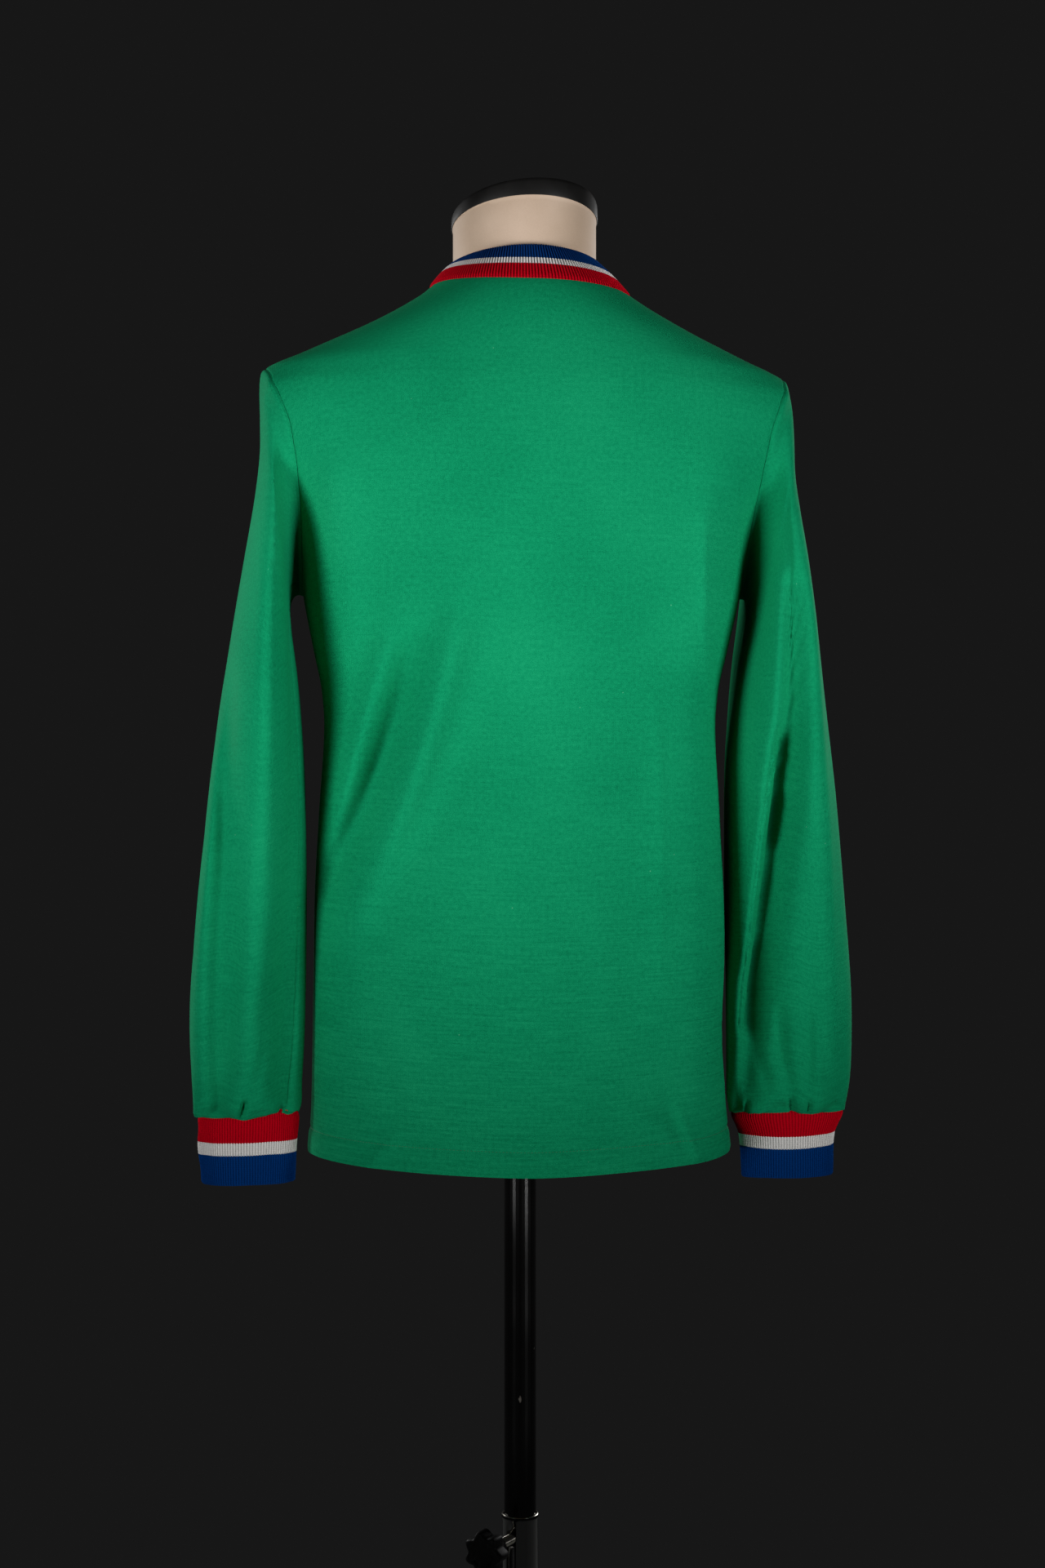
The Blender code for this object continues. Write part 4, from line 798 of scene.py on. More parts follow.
def finished_piece(name, mesh, materials, sharp_from):
    """The mesh as a piece of the scene: faces turned outward, smooth except at sharp edges."""
    shell = bmesh.new()
    shell.from_mesh(mesh)
    bmesh.ops.recalc_face_normals(shell, faces=shell.faces)
    shell.to_mesh(mesh)
    shell.free()
    mesh.shade_smooth()
    mesh.set_sharp_from_angle(angle=radians(sharp_from))
    for material in materials:
        mesh.materials.append(material)
    piece = bpy.data.objects.new(name, mesh)
    bpy.context.scene.collection.objects.link(piece)
    return piece


def cloth_wall(name, outer, inner, u, v, closed, material):
    """A closed wall between two equal grids. u and v have one more column than a closed grid."""
    rows, columns = outer.shape[:2]
    count = rows * columns
    quads, cells = grid_faces(rows, columns, closed)
    r, c = cells[:, 0], cells[:, 1]
    place = np.stack([u, v], axis=-1)
    quad_uv = np.stack([place[r, c], place[r, c + 1], place[r + 1, c + 1], place[r + 1, c]], axis=1)
    faces, uv = [quads, quads + count], [quad_uv, quad_uv]
    rims = [(np.arange(columns), 0), ((rows - 1) * columns + np.arange(columns), rows - 1)]
    if not closed:
        loop = np.concatenate([
            np.arange(columns), np.arange(1, rows) * columns + columns - 1,
            (rows - 1) * columns + np.arange(columns - 2, -1, -1), np.arange(rows - 2, 0, -1) * columns,
        ])
        rims = [(loop, None)]
    for loop, row in rims:
        following = np.roll(loop, -1)
        faces.append(np.stack([loop, following, following + count, loop + count], axis=1))
        if row is None:
            flat = place.reshape(-1, 2)
            a, b = flat[loop], flat[following]
        else:
            a, b = place[row, :-1], place[row, 1:]
        uv.append(np.stack([a, b, b, a], axis=1))
    points = np.concatenate([outer.reshape(-1, 3), inner.reshape(-1, 3)])
    mesh = bpy.data.meshes.new(name)
    mesh.from_pydata(points.tolist(), [], np.concatenate(faces).tolist())
    mesh.uv_layers.new(name="cloth").data.foreach_set("uv", np.concatenate(uv).astype(np.float32).ravel())
    return finished_piece(name, mesh, [material], CLOTH_SHARP)


def arc_length(grid, axis, closed=False):
    """Metres along a grid's rows (axis 0) or columns (axis 1), from its first line."""
    step = np.linalg.norm(np.diff(grid, axis=axis), axis=-1)
    if closed:
        last = np.linalg.norm(grid[:, :1] - grid[:, -1:], axis=-1)
        step = np.concatenate([step, last], axis=1)
    start = np.zeros_like(step[:1] if axis == 0 else step[:, :1])
    return np.concatenate([start, np.cumsum(step, axis=axis)], axis=axis)


def layer_area(grid, closed=False):
    """Square metres of one layer of a grid."""
    if closed:
        grid = np.concatenate([grid, grid[:, :1]], axis=1)
    cross = np.cross(grid[1:, 1:] - grid[:-1, :-1], grid[1:, :-1] - grid[:-1, 1:])
    return float(np.linalg.norm(cross, axis=-1).sum() / 2)


print("cloth walls are", CLOTH * 1000, "mm, and", HEM_CLOTH * 1000, "mm at the hem")

# %% [markdown]
# ## Back and front
#
# On the real jersey these are two flat cuts of knit: straight sides, armholes and shoulder slopes
# cut away, and a turned hem that is stitched 19 mm up. A grid follows that cut: each row runs from
# one side edge to the other, the armhole and shoulder are simply the ends of the rows, and the top
# row is the neckline. Along its seams the cloth rolls in by less than a millimetre, which is what
# makes a sewn seam read as a line.

# %% Back and front panels
PANEL_COLUMNS = 150
PANEL_ROWS = (12, 96, 56, 22)    # hem, side, armhole, shoulder
FINE_HEM = 1.5           # the close rows at the hem reach up to this many hem depths
SEAM_ROLL = 0.0004
SEAM_ROLL_WIDTH = 0.0012
SEAM_SHUT = 0.0001       # what is left of the gap between two sewn pieces
HEM_SWELL = 0.0006
STITCH_DENT = 0.0007
STITCH_DENT_WIDTH = 0.0016
HEM_SLOPE_RIGHT = -0.020  # the right half of the hem is drawn up by its tuck
HEM_TURN = 0.02          # width over which the slope comes in, to each side of the middle
SIDE_TUCK = 0.0030       # the right side draws in above the hem
SIDE_TUCK_Z = (0.905, 0.045)        # its height and half height
SIDE_TUCK_X = (0.10, 0.05)          # where it starts, and the width over which it grows
EDGE_CALM = 0.035        # folds die away over this width along the side and armhole seams
NECK_CALM = 0.060        # and over this one below the neckband
WAVES = (0.00045, 0.050, 0.075)     # height, width and length of the cloth's own unevenness
HEM_WAVES = (0.00030, 0.034, 0.0065)    # the same for the small wrinkles low down
HEM_WAVES_TOP = 0.16     # height over the hem at which these end


def panel_ends(neck_side_z):
    """Theta, z and share of the climb to the neck at each row's end."""
    hem, side, armhole, shoulder = PANEL_ROWS
    fine_z = HEM_Z + FINE_HEM * HEM_DEPTH
    low = np.linspace(HEM_Z, fine_z, hem + 1)[:-1]
    straight = np.linspace(fine_z, UNDERARM_Z, side + 1)[:-1]
    curve_theta, curve_z = armhole_angles(np.linspace(pi, 0, armhole + 1), 0)
    slope = TIP_Z + (neck_side_z - TIP_Z) * np.linspace(0, 1, shoulder + 1)[1:]
    z = np.concatenate([low, straight, curve_z, slope])
    theta = np.full(len(z), pi / 2)
    theta[hem + side : hem + side + armhole + 1] = curve_theta
    return theta, z, np.clip((z - UNDERARM_Z) / (neck_side_z - UNDERARM_Z), 0, 1)


def panel_places(front):
    """For each point of the cut: its turn round the figure, x, z, and height over the hem's edge."""
    neck_z = NECK_FRONT_Z if front else NECK_BACK_Z
    across = np.linspace(-1, 1, PANEL_COLUMNS + 1)[None, :]
    left, right = (panel_ends(side_z) for side_z in NECK_SIDES_Z)
    theta = left[0][:, None]
    end_z = np.where(across < 0, left[1][:, None], right[1][:, None])
    climb = np.where(across < 0, left[2][:, None], right[2][:, None])
    middle_z = np.where(climb > 0, UNDERARM_Z + climb * (neck_z - UNDERARM_Z), end_z)
    plain_z = middle_z + (end_z - middle_z) * np.sin(across * pi / 2) ** 2
    x = body_column("half_width", end_z) * np.sin(theta) * np.sin(across * pi / 2)
    turn = np.arcsin(np.clip(x / body_column("half_width", plain_z), -1, 1))
    above = plain_z - HEM_Z
    slope = np.where(x < 0, HEM_SLOPE, HEM_SLOPE_RIGHT) * (1 - np.exp(-np.abs(x) / HEM_TURN))
    z = plain_z - slope * x * np.clip(1 - above / HEM_SLOPE_RISE, 0, 1)
    gap = SEAM_SHUT / 2 / body_column("back", z)
    turn = np.clip(turn, -pi / 2 + gap, pi / 2 - gap)
    return pi - turn if front else turn, x, z, above


def panel_grid(front, folds, seed):
    """Outer grid, inner grid, and metres across and up the cloth, for the back or the front."""
    turn, x, z, above = panel_places(front)
    shape, outward = section_point(turn, z), section_normal(turn, z)
    along = arc_length(shape, 1)
    up = arc_length(shape, 0)
    to_edge = np.minimum(along, along[:, -1:] - along)
    to_neck = up[-1:] - up
    calm = eased(np.clip(to_edge / EDGE_CALM, 0, 1) * np.clip(to_neck / NECK_CALM, 0, 1))
    fold = fold_height(folds, shape[..., 0], z) * calm
    height, wide, long = WAVES
    lift = height * calm * ripple(shape[..., 0], z, wide, long, seed)
    height, wide, long = HEM_WAVES
    low = np.clip(1 - above / HEM_WAVES_TOP, 0, 1)
    lift += height * calm * low * ripple(shape[..., 0], z, wide, long, seed + 1)
    # The roll of the seams, the hem's swell and the dent of its stitching.
    lift -= SEAM_ROLL * (bell(to_edge, SEAM_ROLL_WIDTH) + bell(to_neck, SEAM_ROLL_WIDTH))
    lift += HEM_SWELL * np.clip((HEM_DEPTH - above) / 0.004, 0, 1) * np.clip(above / 0.003, 0, 1)
    lift -= STITCH_DENT * bell(above - HEM_DEPTH, STITCH_DENT_WIDTH)
    wall = np.where(above < HEM_DEPTH, HEM_CLOTH, CLOTH)
    outer = shape + outward * lift[..., None]
    outer[..., 1] += fold if front else -fold
    tuck = bell(z - SIDE_TUCK_Z[0], SIDE_TUCK_Z[1]) * np.clip((x - SIDE_TUCK_X[0]) / SIDE_TUCK_X[1], 0, 1)
    outer[..., 0] -= SIDE_TUCK * tuck
    facing = grid_normals(outer, False)
    facing *= np.sign(np.sum(facing * outward, axis=-1, keepdims=True))
    inner = outer - facing * wall[..., None]
    return swayed(outer), swayed(inner), shape[..., 0], up


sheets = {}    # name of each cloth piece: its outer grid and the area of one layer


def add_panel(name, front, folds, seed):
    """The back or the front as a wall of cloth."""
    outer, inner, u, v = panel_grid(front, folds, seed)
    sheets[name] = (outer, layer_area(outer))
    return cloth_wall(name, outer, inner, u, v, False, green_knit)


back = add_panel("jersey_back", False, BACK_FOLDS + FINE_BACK_FOLDS, 11)
front = add_panel("jersey_front", True, FRONT_FOLDS + FINE_FRONT_FOLDS, 23)
for name, (grid, area) in sheets.items():
    middle = grid[:, PANEL_COLUMNS // 2, 2]
    print(name, "area", round(area, 3), "m2, length", round(float(middle[-1] - middle[0]), 3))

# %% [markdown]
# ## Sleeves
#
# A set-in sleeve is one cut, sewn to a tube with an underarm seam and then round the armhole. Here
# it is a tube of rings: the first ring is the armhole's own curve, moved off by the seam's gap, and
# the rings fan down over the upper arm to a nearly flat, hanging end. Its lower end is gathered
# into the cuff, so short deep tucks stand over the rib.

# %% Sleeve rings
SLEEVE_AROUND = 200
SLEEVE_ROWS = 150
SETTLE_ROWS = 3.0       # table rows below the armhole over which an arm's own widths come in
SETTLE_END = 0.15       # share of the sleeve over which they go out again at the cuff
TWIST_START = 0.55      # shares of the sleeve at which its twist and its tilt start
TILT_START = 0.80
# How each arm hangs: its side of the body, the widths added at four places, a shift outward and
# down, the degrees of its twist and tilt, and where its underarm seam runs, in degrees round from
# the outer side.
ARM_KEYS = ("side", "full_high", "full_low", "inner_low", "end", "out", "drop", "twist", "tilt", "seam")
LEFT_ARM = dict(zip(ARM_KEYS, (-1, 0.0000, -0.0050, 0.0050, -0.0008, 0.0000, -0.0017, 20.0, 3.6, 153.0)))
RIGHT_ARM = dict(zip(ARM_KEYS, (1, 0.0030, 0.0022, -0.0022, 0.0056, -0.0002, 0.0012, 3.0, 0.0, 192.0)))
# How far the sleeve's lower edge hangs over the rib at places across it, from inside to outside.
LEFT_EDGE = (
    (-0.040, -0.0034), (-0.029, -0.0036), (-0.0245, -0.0040), (-0.021, -0.0022), (-0.012, -0.0012),
    (-0.006, -0.0016), (-0.0018, -0.0024), (0.0004, -0.0058), (0.0028, -0.0026), (0.009, -0.0018),
    (0.030, -0.0014), (0.040, -0.0026),
)
RIGHT_EDGE = (
    (-0.042, -0.0014), (-0.0355, -0.0010), (-0.0320, -0.0030), (-0.028, -0.0008), (-0.012, -0.0014),
    (0.001, -0.0018), (0.0045, -0.0002), (0.0100, -0.0008), (0.0155, -0.0030), (0.0185, -0.0006),
    (0.030, -0.0002), (0.042, -0.0006),
)


def hang(points, arm, along):
    """The lower sleeve and cuff as this arm hangs: shifted, dropped, twisted and tilted."""
    centre = np.array([CUFF_CENTRE_X, CUFF_CENTRE_Y, CUFF_TOP_Z])
    angle = radians(arm["twist"]) * eased(np.clip((along - TWIST_START) / (1 - TWIST_START), 0, 1))
    slant = tan(radians(arm["tilt"])) * np.clip((along - TILT_START) / (1 - TILT_START), 0, 1)
    turned = (points - centre) @ np.array(Matrix.Rotation(angle, 3, "Z")).T
    turned[..., 2] -= slant * turned[..., 0]
    shift = np.array([arm["out"] * along**2, 0.0, -arm["drop"] * along**2])
    return (turned + centre + shift) * np.array([arm["side"], 1, 1])


def between_rows(rings, rows):
    """Rings between the given ones, on smooth curves through each column of points."""
    count = len(rings)
    padded = np.concatenate([2 * rings[:1] - rings[1:2], rings, 2 * rings[-1:] - rings[-2:-1]])
    i = np.clip(np.floor(rows).astype(int), 0, count - 2)
    t = (rows - i)[:, None, None]
    a, b, c, d = padded[i], padded[i + 1], padded[i + 2], padded[i + 3]
    return 0.5 * (2 * b + (c - a) * t + (2 * a - 5 * b + 4 * c - d) * t**2 + (3 * b - a - 3 * c + d) * t**3)


def sleeve_rings(arm):
    """The plain sleeve: the armhole ring, then a ring for each row of the table."""
    around = np.arange(SLEEVE_AROUND) * 2 * pi / SLEEVE_AROUND
    theta, z = armhole_angles(np.where(around > pi, 2 * pi - around, around), np.where(around > pi, 1, 0))
    line, outward = section_point(theta, z), section_normal(theta, z)
    off = unit(np.cross(np.roll(line, -1, axis=0) - np.roll(line, 1, axis=0), outward))
    off = off * np.sign(off[:, :1])
    first = line + off * SEAM_SHUT
    column = {c: np.array(SLEEVE)[:, i : i + 1] for i, c in enumerate(SLEEVE_COLUMNS)}
    count = np.arange(len(SLEEVE))[:, None]
    along = count / count[-1]
    settle = np.clip(count / SETTLE_ROWS, 0, 1) * np.clip((1 - along) / SETTLE_END, 0, 1)
    at_end = arm["end"] * along**10
    fullness = arm["full_high"] * (1 - along) + arm["full_low"] * along
    outer_x = column["outer_x"] + settle * fullness + at_end
    inner_x = column["inner_x"] + settle * arm["inner_low"] * along - at_end
    outer_z, inner_z = column["outer_z"], column["inner_z"]
    x = (outer_x + inner_x) / 2 + (outer_x - inner_x) / 2 * np.cos(around)
    level = (outer_z + inner_z) / 2 + (outer_z - inner_z) / 2 * np.cos(around)
    rings = np.stack([x, column["centre"] - column["half_depth"] * np.sin(around), level], axis=-1)
    quarter = SLEEVE_AROUND // 4
    tip, rear, underarm, fore = (first[k * quarter] for k in range(4))
    plain = np.stack(
        [
            (tip[0] + underarm[0]) / 2 + (tip[0] - underarm[0]) / 2 * np.cos(around),
            (rear[1] + fore[1]) / 2 + (rear[1] - fore[1]) / 2 * np.sin(around),
            first[:, 2],
        ],
        axis=-1,
    )
    hold = np.exp(-count / BEND_HOLD)[:, :, None]
    return np.concatenate([first[None], rings + (first - plain)[None] * hold]), around


rings, around = sleeve_rings(LEFT_ARM)
print("sleeve rings", rings.shape, "armhole girth", round(float(arc_length(rings, 1, True)[0, -1]), 3), "m")

# %% [markdown]
# The folds of a sleeve come in three kinds: long ones that turn with the arm, gathers over the
# cuff, and creases set against the photograph from behind. The last move the cloth straight back
# or forward, and only on the side that they belong to.

# %% Sleeve meshes
EDGE_REACH = 0.011      # of the overhang, up the sleeve
ROW_CROWDING = 0.12     # rows stand closer at both ends of the sleeve
FOLD_START, FOLD_END = 0.12, 0.04   # shares over which long folds come in and go out
ARMHOLE_CALM = 0.05     # creases die away over this length below the armhole
SLEEVE_WAVES = (0.0005, 0.045, 0.085)   # height, width and length of the cloth's unevenness
SLEEVE_WAVES_END = 0.03  # they die away over this length above the cuff
CUFF_SEAM_ROLL = 0.0016  # width of the roll at the cuff's seam
ROOM_SHARE, ROOM_KEPT = 0.75, 0.004     # a trough fills at most this share of the free depth
GROOVE, GROOVE_WIDTH = 0.0012, 0.0011   # of the underarm seam
UV_ROW = 30             # the row whose girth gives the width of the cloth's map


def tube_normals(rings):
    """Normals of a tube of rings, all turned outward."""
    facing = grid_normals(rings, True)
    return facing * np.sign(np.sum(facing * (rings - rings.mean(axis=1, keepdims=True)), axis=-1).mean())


def sleeve_grid(arm, edge, long_folds, gathers):
    """The hanging sleeve with its long folds, gathers and lower edge, and its columns' angles."""
    base, around = sleeve_rings(arm)
    table_along = np.concatenate([[0.0], np.arange(len(SLEEVE)) / (len(SLEEVE) - 1)])
    share = np.linspace(0, 1, SLEEVE_ROWS)
    rows = (len(base) - 1) * (share - ROW_CROWDING * np.sin(2 * pi * share) / (2 * pi))
    grid = between_rows(base, rows)
    along = np.interp(rows, np.arange(len(base)), table_along)[:, None]
    lift = long_fold_height(long_folds, along, around[None])
    lift = lift * np.clip(along / FOLD_START, 0, 1) * np.clip((1 - along) / FOLD_END, 0, 1)
    lift = lift + gather_height(gathers, along, around[None])
    grid = grid + tube_normals(grid) * lift[..., None]
    place, over = np.array(edge).T
    near = np.clip(1 - arc_length(grid[::-1], 0)[::-1] / EDGE_REACH, 0, 1) ** 2
    share = np.interp((grid[..., 0] - CUFF_CENTRE_X) * np.where(np.sin(around) > 0, 1, -1), place, over)
    grid[..., 2] -= near * share
    return swayed(np.stack([hang(ring, arm, a) for ring, a in zip(grid, along[:, 0])])), around


def add_sleeve(name, arm, edge, long_folds, gathers, back_folds, front_folds, seed):
    """One sleeve: its grid, with the creases seen from behind and in front, as a wall of cloth."""
    grid, around = sleeve_grid(arm, edge, long_folds, gathers)
    facing = tube_normals(grid)
    to_start = arc_length(grid, 0)
    to_end = to_start[-1:] - to_start
    calm = eased(np.clip(to_start / ARMHOLE_CALM, 0, 1))
    behind = np.clip(np.sin(around)[None] * 2, 0, 1)
    before = np.clip(-np.sin(around)[None] * 3, 0, 1)
    forward = fold_height(front_folds, grid[..., 0], grid[..., 2]) * before
    forward -= fold_height(back_folds, grid[..., 0], grid[..., 2]) * behind
    # A trough stops short of the opposite side of the sleeve.
    aside = grid[..., 1] - np.roll(grid[:, ::-1, 1], 1, axis=1)
    room = ROOM_SHARE * np.maximum(np.abs(aside) - ROOM_KEPT, 0) + 0.0001
    inward = -np.sign(aside) * forward
    forward = np.where(inward > 0, -np.sign(aside) * room * np.tanh(inward / room), forward)
    girth = arc_length(grid, 1, True)
    height, wide, long = SLEEVE_WAVES
    extra = height * calm * ripple(girth[:, :-1], to_start, wide, long, seed)
    extra *= np.clip(to_end / SLEEVE_WAVES_END, 0, 1)
    # The cloth rolls in along its seams, and a groove marks the underarm seam.
    extra -= SEAM_ROLL * (bell(to_start, SEAM_ROLL_WIDTH) + bell(to_end, CUFF_SEAM_ROLL))
    seam = (np.degrees(around)[None] - arm["seam"]) / 360 * girth[:, -1:]
    groove = np.clip(to_start / 0.01, 0, 1) * np.clip(to_end / 0.010, 0.25, 1)
    extra -= GROOVE * bell(seam, GROOVE_WIDTH) * groove
    outer = grid + facing * extra[..., None]
    outer[..., 1] += forward * calm
    outward = grid_normals(outer, True)
    outward *= np.sign(np.sum(outward * facing, axis=-1, keepdims=True))
    inner = outer - outward * CLOTH
    sheets[name] = (outer, layer_area(outer, True))
    u = girth * (girth[UV_ROW, -1] / girth[:, -1:])
    v = np.concatenate([to_end, to_end[:, :1]], axis=1)
    return cloth_wall(name, outer, inner, u, v, True, green_knit)


left_sleeve = add_sleeve(
    "jersey_sleeve_left", LEFT_ARM, LEFT_EDGE, LEFT_FOLDS, LEFT_GATHERS,
    LEFT_BACK_FOLDS, LEFT_FRONT_FOLDS, 31,
)
right_sleeve = add_sleeve(
    "jersey_sleeve_right", RIGHT_ARM, RIGHT_EDGE, RIGHT_FOLDS, RIGHT_GATHERS,
    RIGHT_BACK_FOLDS, RIGHT_FRONT_FOLDS, 43,
)
for sleeve in (left_sleeve, right_sleeve):
    print(sleeve.name, "area", round(sheets[sleeve.name][1], 3), "m2")

# %% [markdown]
# ## Rib neckband and cuffs
#
# A 1 x 1 rib is a row of rounded wales with narrow valleys between them, and it repeats hundreds of
# times, so it is made by rule: the plain band carries a count of its wales, and a Geometry Nodes
# tree raises each point along its normal by a rounded wave of that count. The tree's inputs are the
# height of the rib and its material. The inner side of the folded band stays plain.

# %% Rib tree
def start_tree(name):
    """A geometry tree with a geometry input and output."""
    tree = bpy.data.node_groups.new(name, "GeometryNodeTree")
    tree.interface.new_socket("Geometry", in_out="INPUT", socket_type="NodeSocketGeometry")
    tree.interface.new_socket("Geometry", in_out="OUTPUT", socket_type="NodeSocketGeometry")
    return tree


def tree_input(tree, name, value=None):
    """An input of the tree: a number with its usual value, or else a material."""
    kind = "NodeSocketMaterial" if value is None else "NodeSocketFloat"
    socket = tree.interface.new_socket(name, in_out="INPUT", socket_type=kind)
    if value is not None:
        socket.default_value = value


def run_tree(piece, tree, values):
    """Runs a tree on a piece with its inputs set by name, and keeps the result as plain mesh."""
    modifier = piece.modifiers.new(tree.name, "NODES")
    modifier.node_group = tree
    names = {item.name: item.identifier for item in tree.interface.items_tree if item.in_out == "INPUT"}
    for name, value in values.items():
        modifier[names[name]] = value
    bpy.context.view_layer.update()
    made = piece.evaluated_get(bpy.context.evaluated_depsgraph_get())
    mesh = bpy.data.meshes.new_from_object(made)
    piece.modifiers.remove(modifier)
    piece.data = mesh
    mesh.name = piece.name
    return piece


rib_tree = start_tree("rib relief")
tree_input(rib_tree, "Rib height", 0.0005)
tree_input(rib_tree, "Yarn")
given = add_node(rib_tree, "NodeGroupInput")
wale, raised = (
    add_node(rib_tree, "GeometryNodeInputNamedAttribute", {"Name": name}, data_type="FLOAT").outputs[0]
    for name in ("wale", "raise")
)
# From the count of wales to a height: a cosine from 0 to 1, made rounder, times the rib's height.
wave = wale
for operation, values in (
    ("MULTIPLY", {1: 2 * pi}),
    ("COSINE", {}),
    ("MULTIPLY_ADD", {1: 0.5, 2: 0.5}),
    ("POWER", {1: 0.65}),
    ("MULTIPLY", {1: given.outputs["Rib height"]}),
    ("MULTIPLY", {1: raised}),
):
    wave = add_node(rib_tree, "ShaderNodeMath", {0: wave} | values, operation=operation).outputs[0]
normal = add_node(rib_tree, "GeometryNodeInputNormal").outputs[0]
offset = add_node(
    rib_tree, "ShaderNodeVectorMath", {0: normal, "Scale": wave}, operation="SCALE"
).outputs[0]
moved = add_node(
    rib_tree, "GeometryNodeSetPosition", {"Geometry": given.outputs["Geometry"], "Offset": offset}
)
real = add_node(rib_tree, "GeometryNodeRealizeInstances", {0: moved.outputs[0]})
painted = add_node(
    rib_tree, "GeometryNodeSetMaterial", {"Geometry": real.outputs[0], "Material": given.outputs["Yarn"]}
)
add_node(rib_tree, "NodeGroupOutput", {"Geometry": painted.outputs[0]})
print("rib tree has", len(rib_tree.nodes), "nodes")

# %% [markdown]
# The neckband leans inward from its seam on the neckline to its folded edge, and each cuff hangs
# from the end of its sleeve. Both are rings from the seam to the fold, with six points to each
# wale, which is enough for a rounded one.

# %% Neckband and cuffs
WALE_POINTS = 6
COLLAR_WALES = 200
CUFF_WALES = 108
COLLAR_RIB = 0.0012      # height of a wale over its valleys
CUFF_RIB = 0.0007
CUFF_IN_SLEEVE = 0.008   # seam allowance of the rib, hidden in the sleeve
CUFF_HALF = 0.037        # metres of rib for each radian round a cuff
CUFF_WAVES = (0.0007, 0.014, 0.024)     # height, width and length of the cuff's unevenness
CUFF_COLUMNS = ("down", "half_width", "half_depth")     # down from the seam
LEFT_CUFF = (
    (-0.008, 0.0375, 0.0155), (-0.003, 0.0389, 0.0168), (0.001, 0.0400, 0.0181), (0.018, 0.0389, 0.0182),
    (0.050, 0.0368, 0.0174),
)
RIGHT_CUFF = (
    (-0.008, 0.0418, 0.0155), (-0.002, 0.0439, 0.0172), (0.001, 0.0447, 0.0182), (0.009, 0.0416, 0.0182),
    (0.017, 0.0386, 0.0178), (0.050, 0.0363, 0.0172),
)


def rib_band(name, rings, outward, hidden, rib_height, material):
    """A rib wall through rings that run from the seam to the folded edge."""
    rows, columns = rings.shape[:2]
    down = arc_length(rings, 0)
    left = down[-1:] - down
    # The fold is round: near the edge both sides close in.
    close = np.clip(1 - left / (RIB_CLOTH / 2), 0, 1)
    tuck = (RIB_CLOTH / 2 * (1 - np.sqrt(np.clip(1 - close**2, 0, 1))))[..., None]
    outer = rings - outward * tuck
    inner = rings - outward * (RIB_CLOTH - tuck)
    u = np.tile(np.arange(columns + 1) / WALE_POINTS, (rows, 1))
    v = np.concatenate([down, down[:, :1]], axis=1) - hidden
    band = cloth_wall(name, outer, inner, u, v, True, material)
    wale = np.tile(np.arange(columns) / WALE_POINTS, 2 * rows)
    # The wales are pressed flatter at the seam and over the fold.
    free = np.clip(left / 0.0015, 0.25, 1) * np.clip(down / 0.0008, 0.3, 1)
    lifted = np.concatenate([free.ravel(), np.zeros(rows * columns)])
    for label, values in (("wale", wale), ("raise", lifted)):
        attribute = band.data.attributes.new(label, "FLOAT", "POINT")
        attribute.data.foreach_set("value", values.astype(np.float32))
    sheets[name] = (outer, layer_area(outer, True))
    return run_tree(band, rib_tree, {"Rib height": rib_height, "Yarn": material})


def add_collar():
    """The neckband: from its seam on the neckline up to its folded edge."""
    count = COLLAR_WALES * WALE_POINTS
    phi = np.arange(count) * 2 * pi / count
    theta, z = neck_angles(np.where(phi > pi, 2 * pi - phi, phi), phi > pi)
    theta = np.where(phi > pi, 2 * pi - theta, theta)
    line, outward = section_point(theta, z), section_normal(theta, z)
    off = unit(np.cross(np.roll(line, -1, axis=0) - np.roll(line, 1, axis=0), outward))
    first = line + off * np.sign(off[:, 2:3]) * SEAM_GAP
    behind = np.cos(phi) > 0
    end_y, end_z = (np.where(behind, COLLAR_BACK[k], COLLAR_FRONT[k]) for k in (0, 1))
    level = np.abs(np.cos(phi))
    top = np.stack(
        [
            COLLAR_SIDE[0] * np.sin(phi),
            NECK_CENTRE_Y + (end_y - NECK_CENTRE_Y) * level,
            COLLAR_SIDE[1] + (end_z - COLLAR_SIDE[1]) * level**2,
        ],
        axis=-1,
    )
    # Rings stand closer near the folded edge.
    rise = np.concatenate([np.linspace(0, 0.955, 15), np.linspace(0.965, 1, 6)])[:, None, None]
    rings = first + (top - first) * rise
    across = np.roll(rings, -1, axis=1) - np.roll(rings, 1, axis=1)
    outward = unit(np.cross(across, np.broadcast_to(top - first, rings.shape)))
    rings = rings + outward * COLLAR_SWELL * np.sin(pi * rise)
    return rib_band("jersey_neckband", swayed(rings), outward, 0.0, COLLAR_RIB, collar_rib)


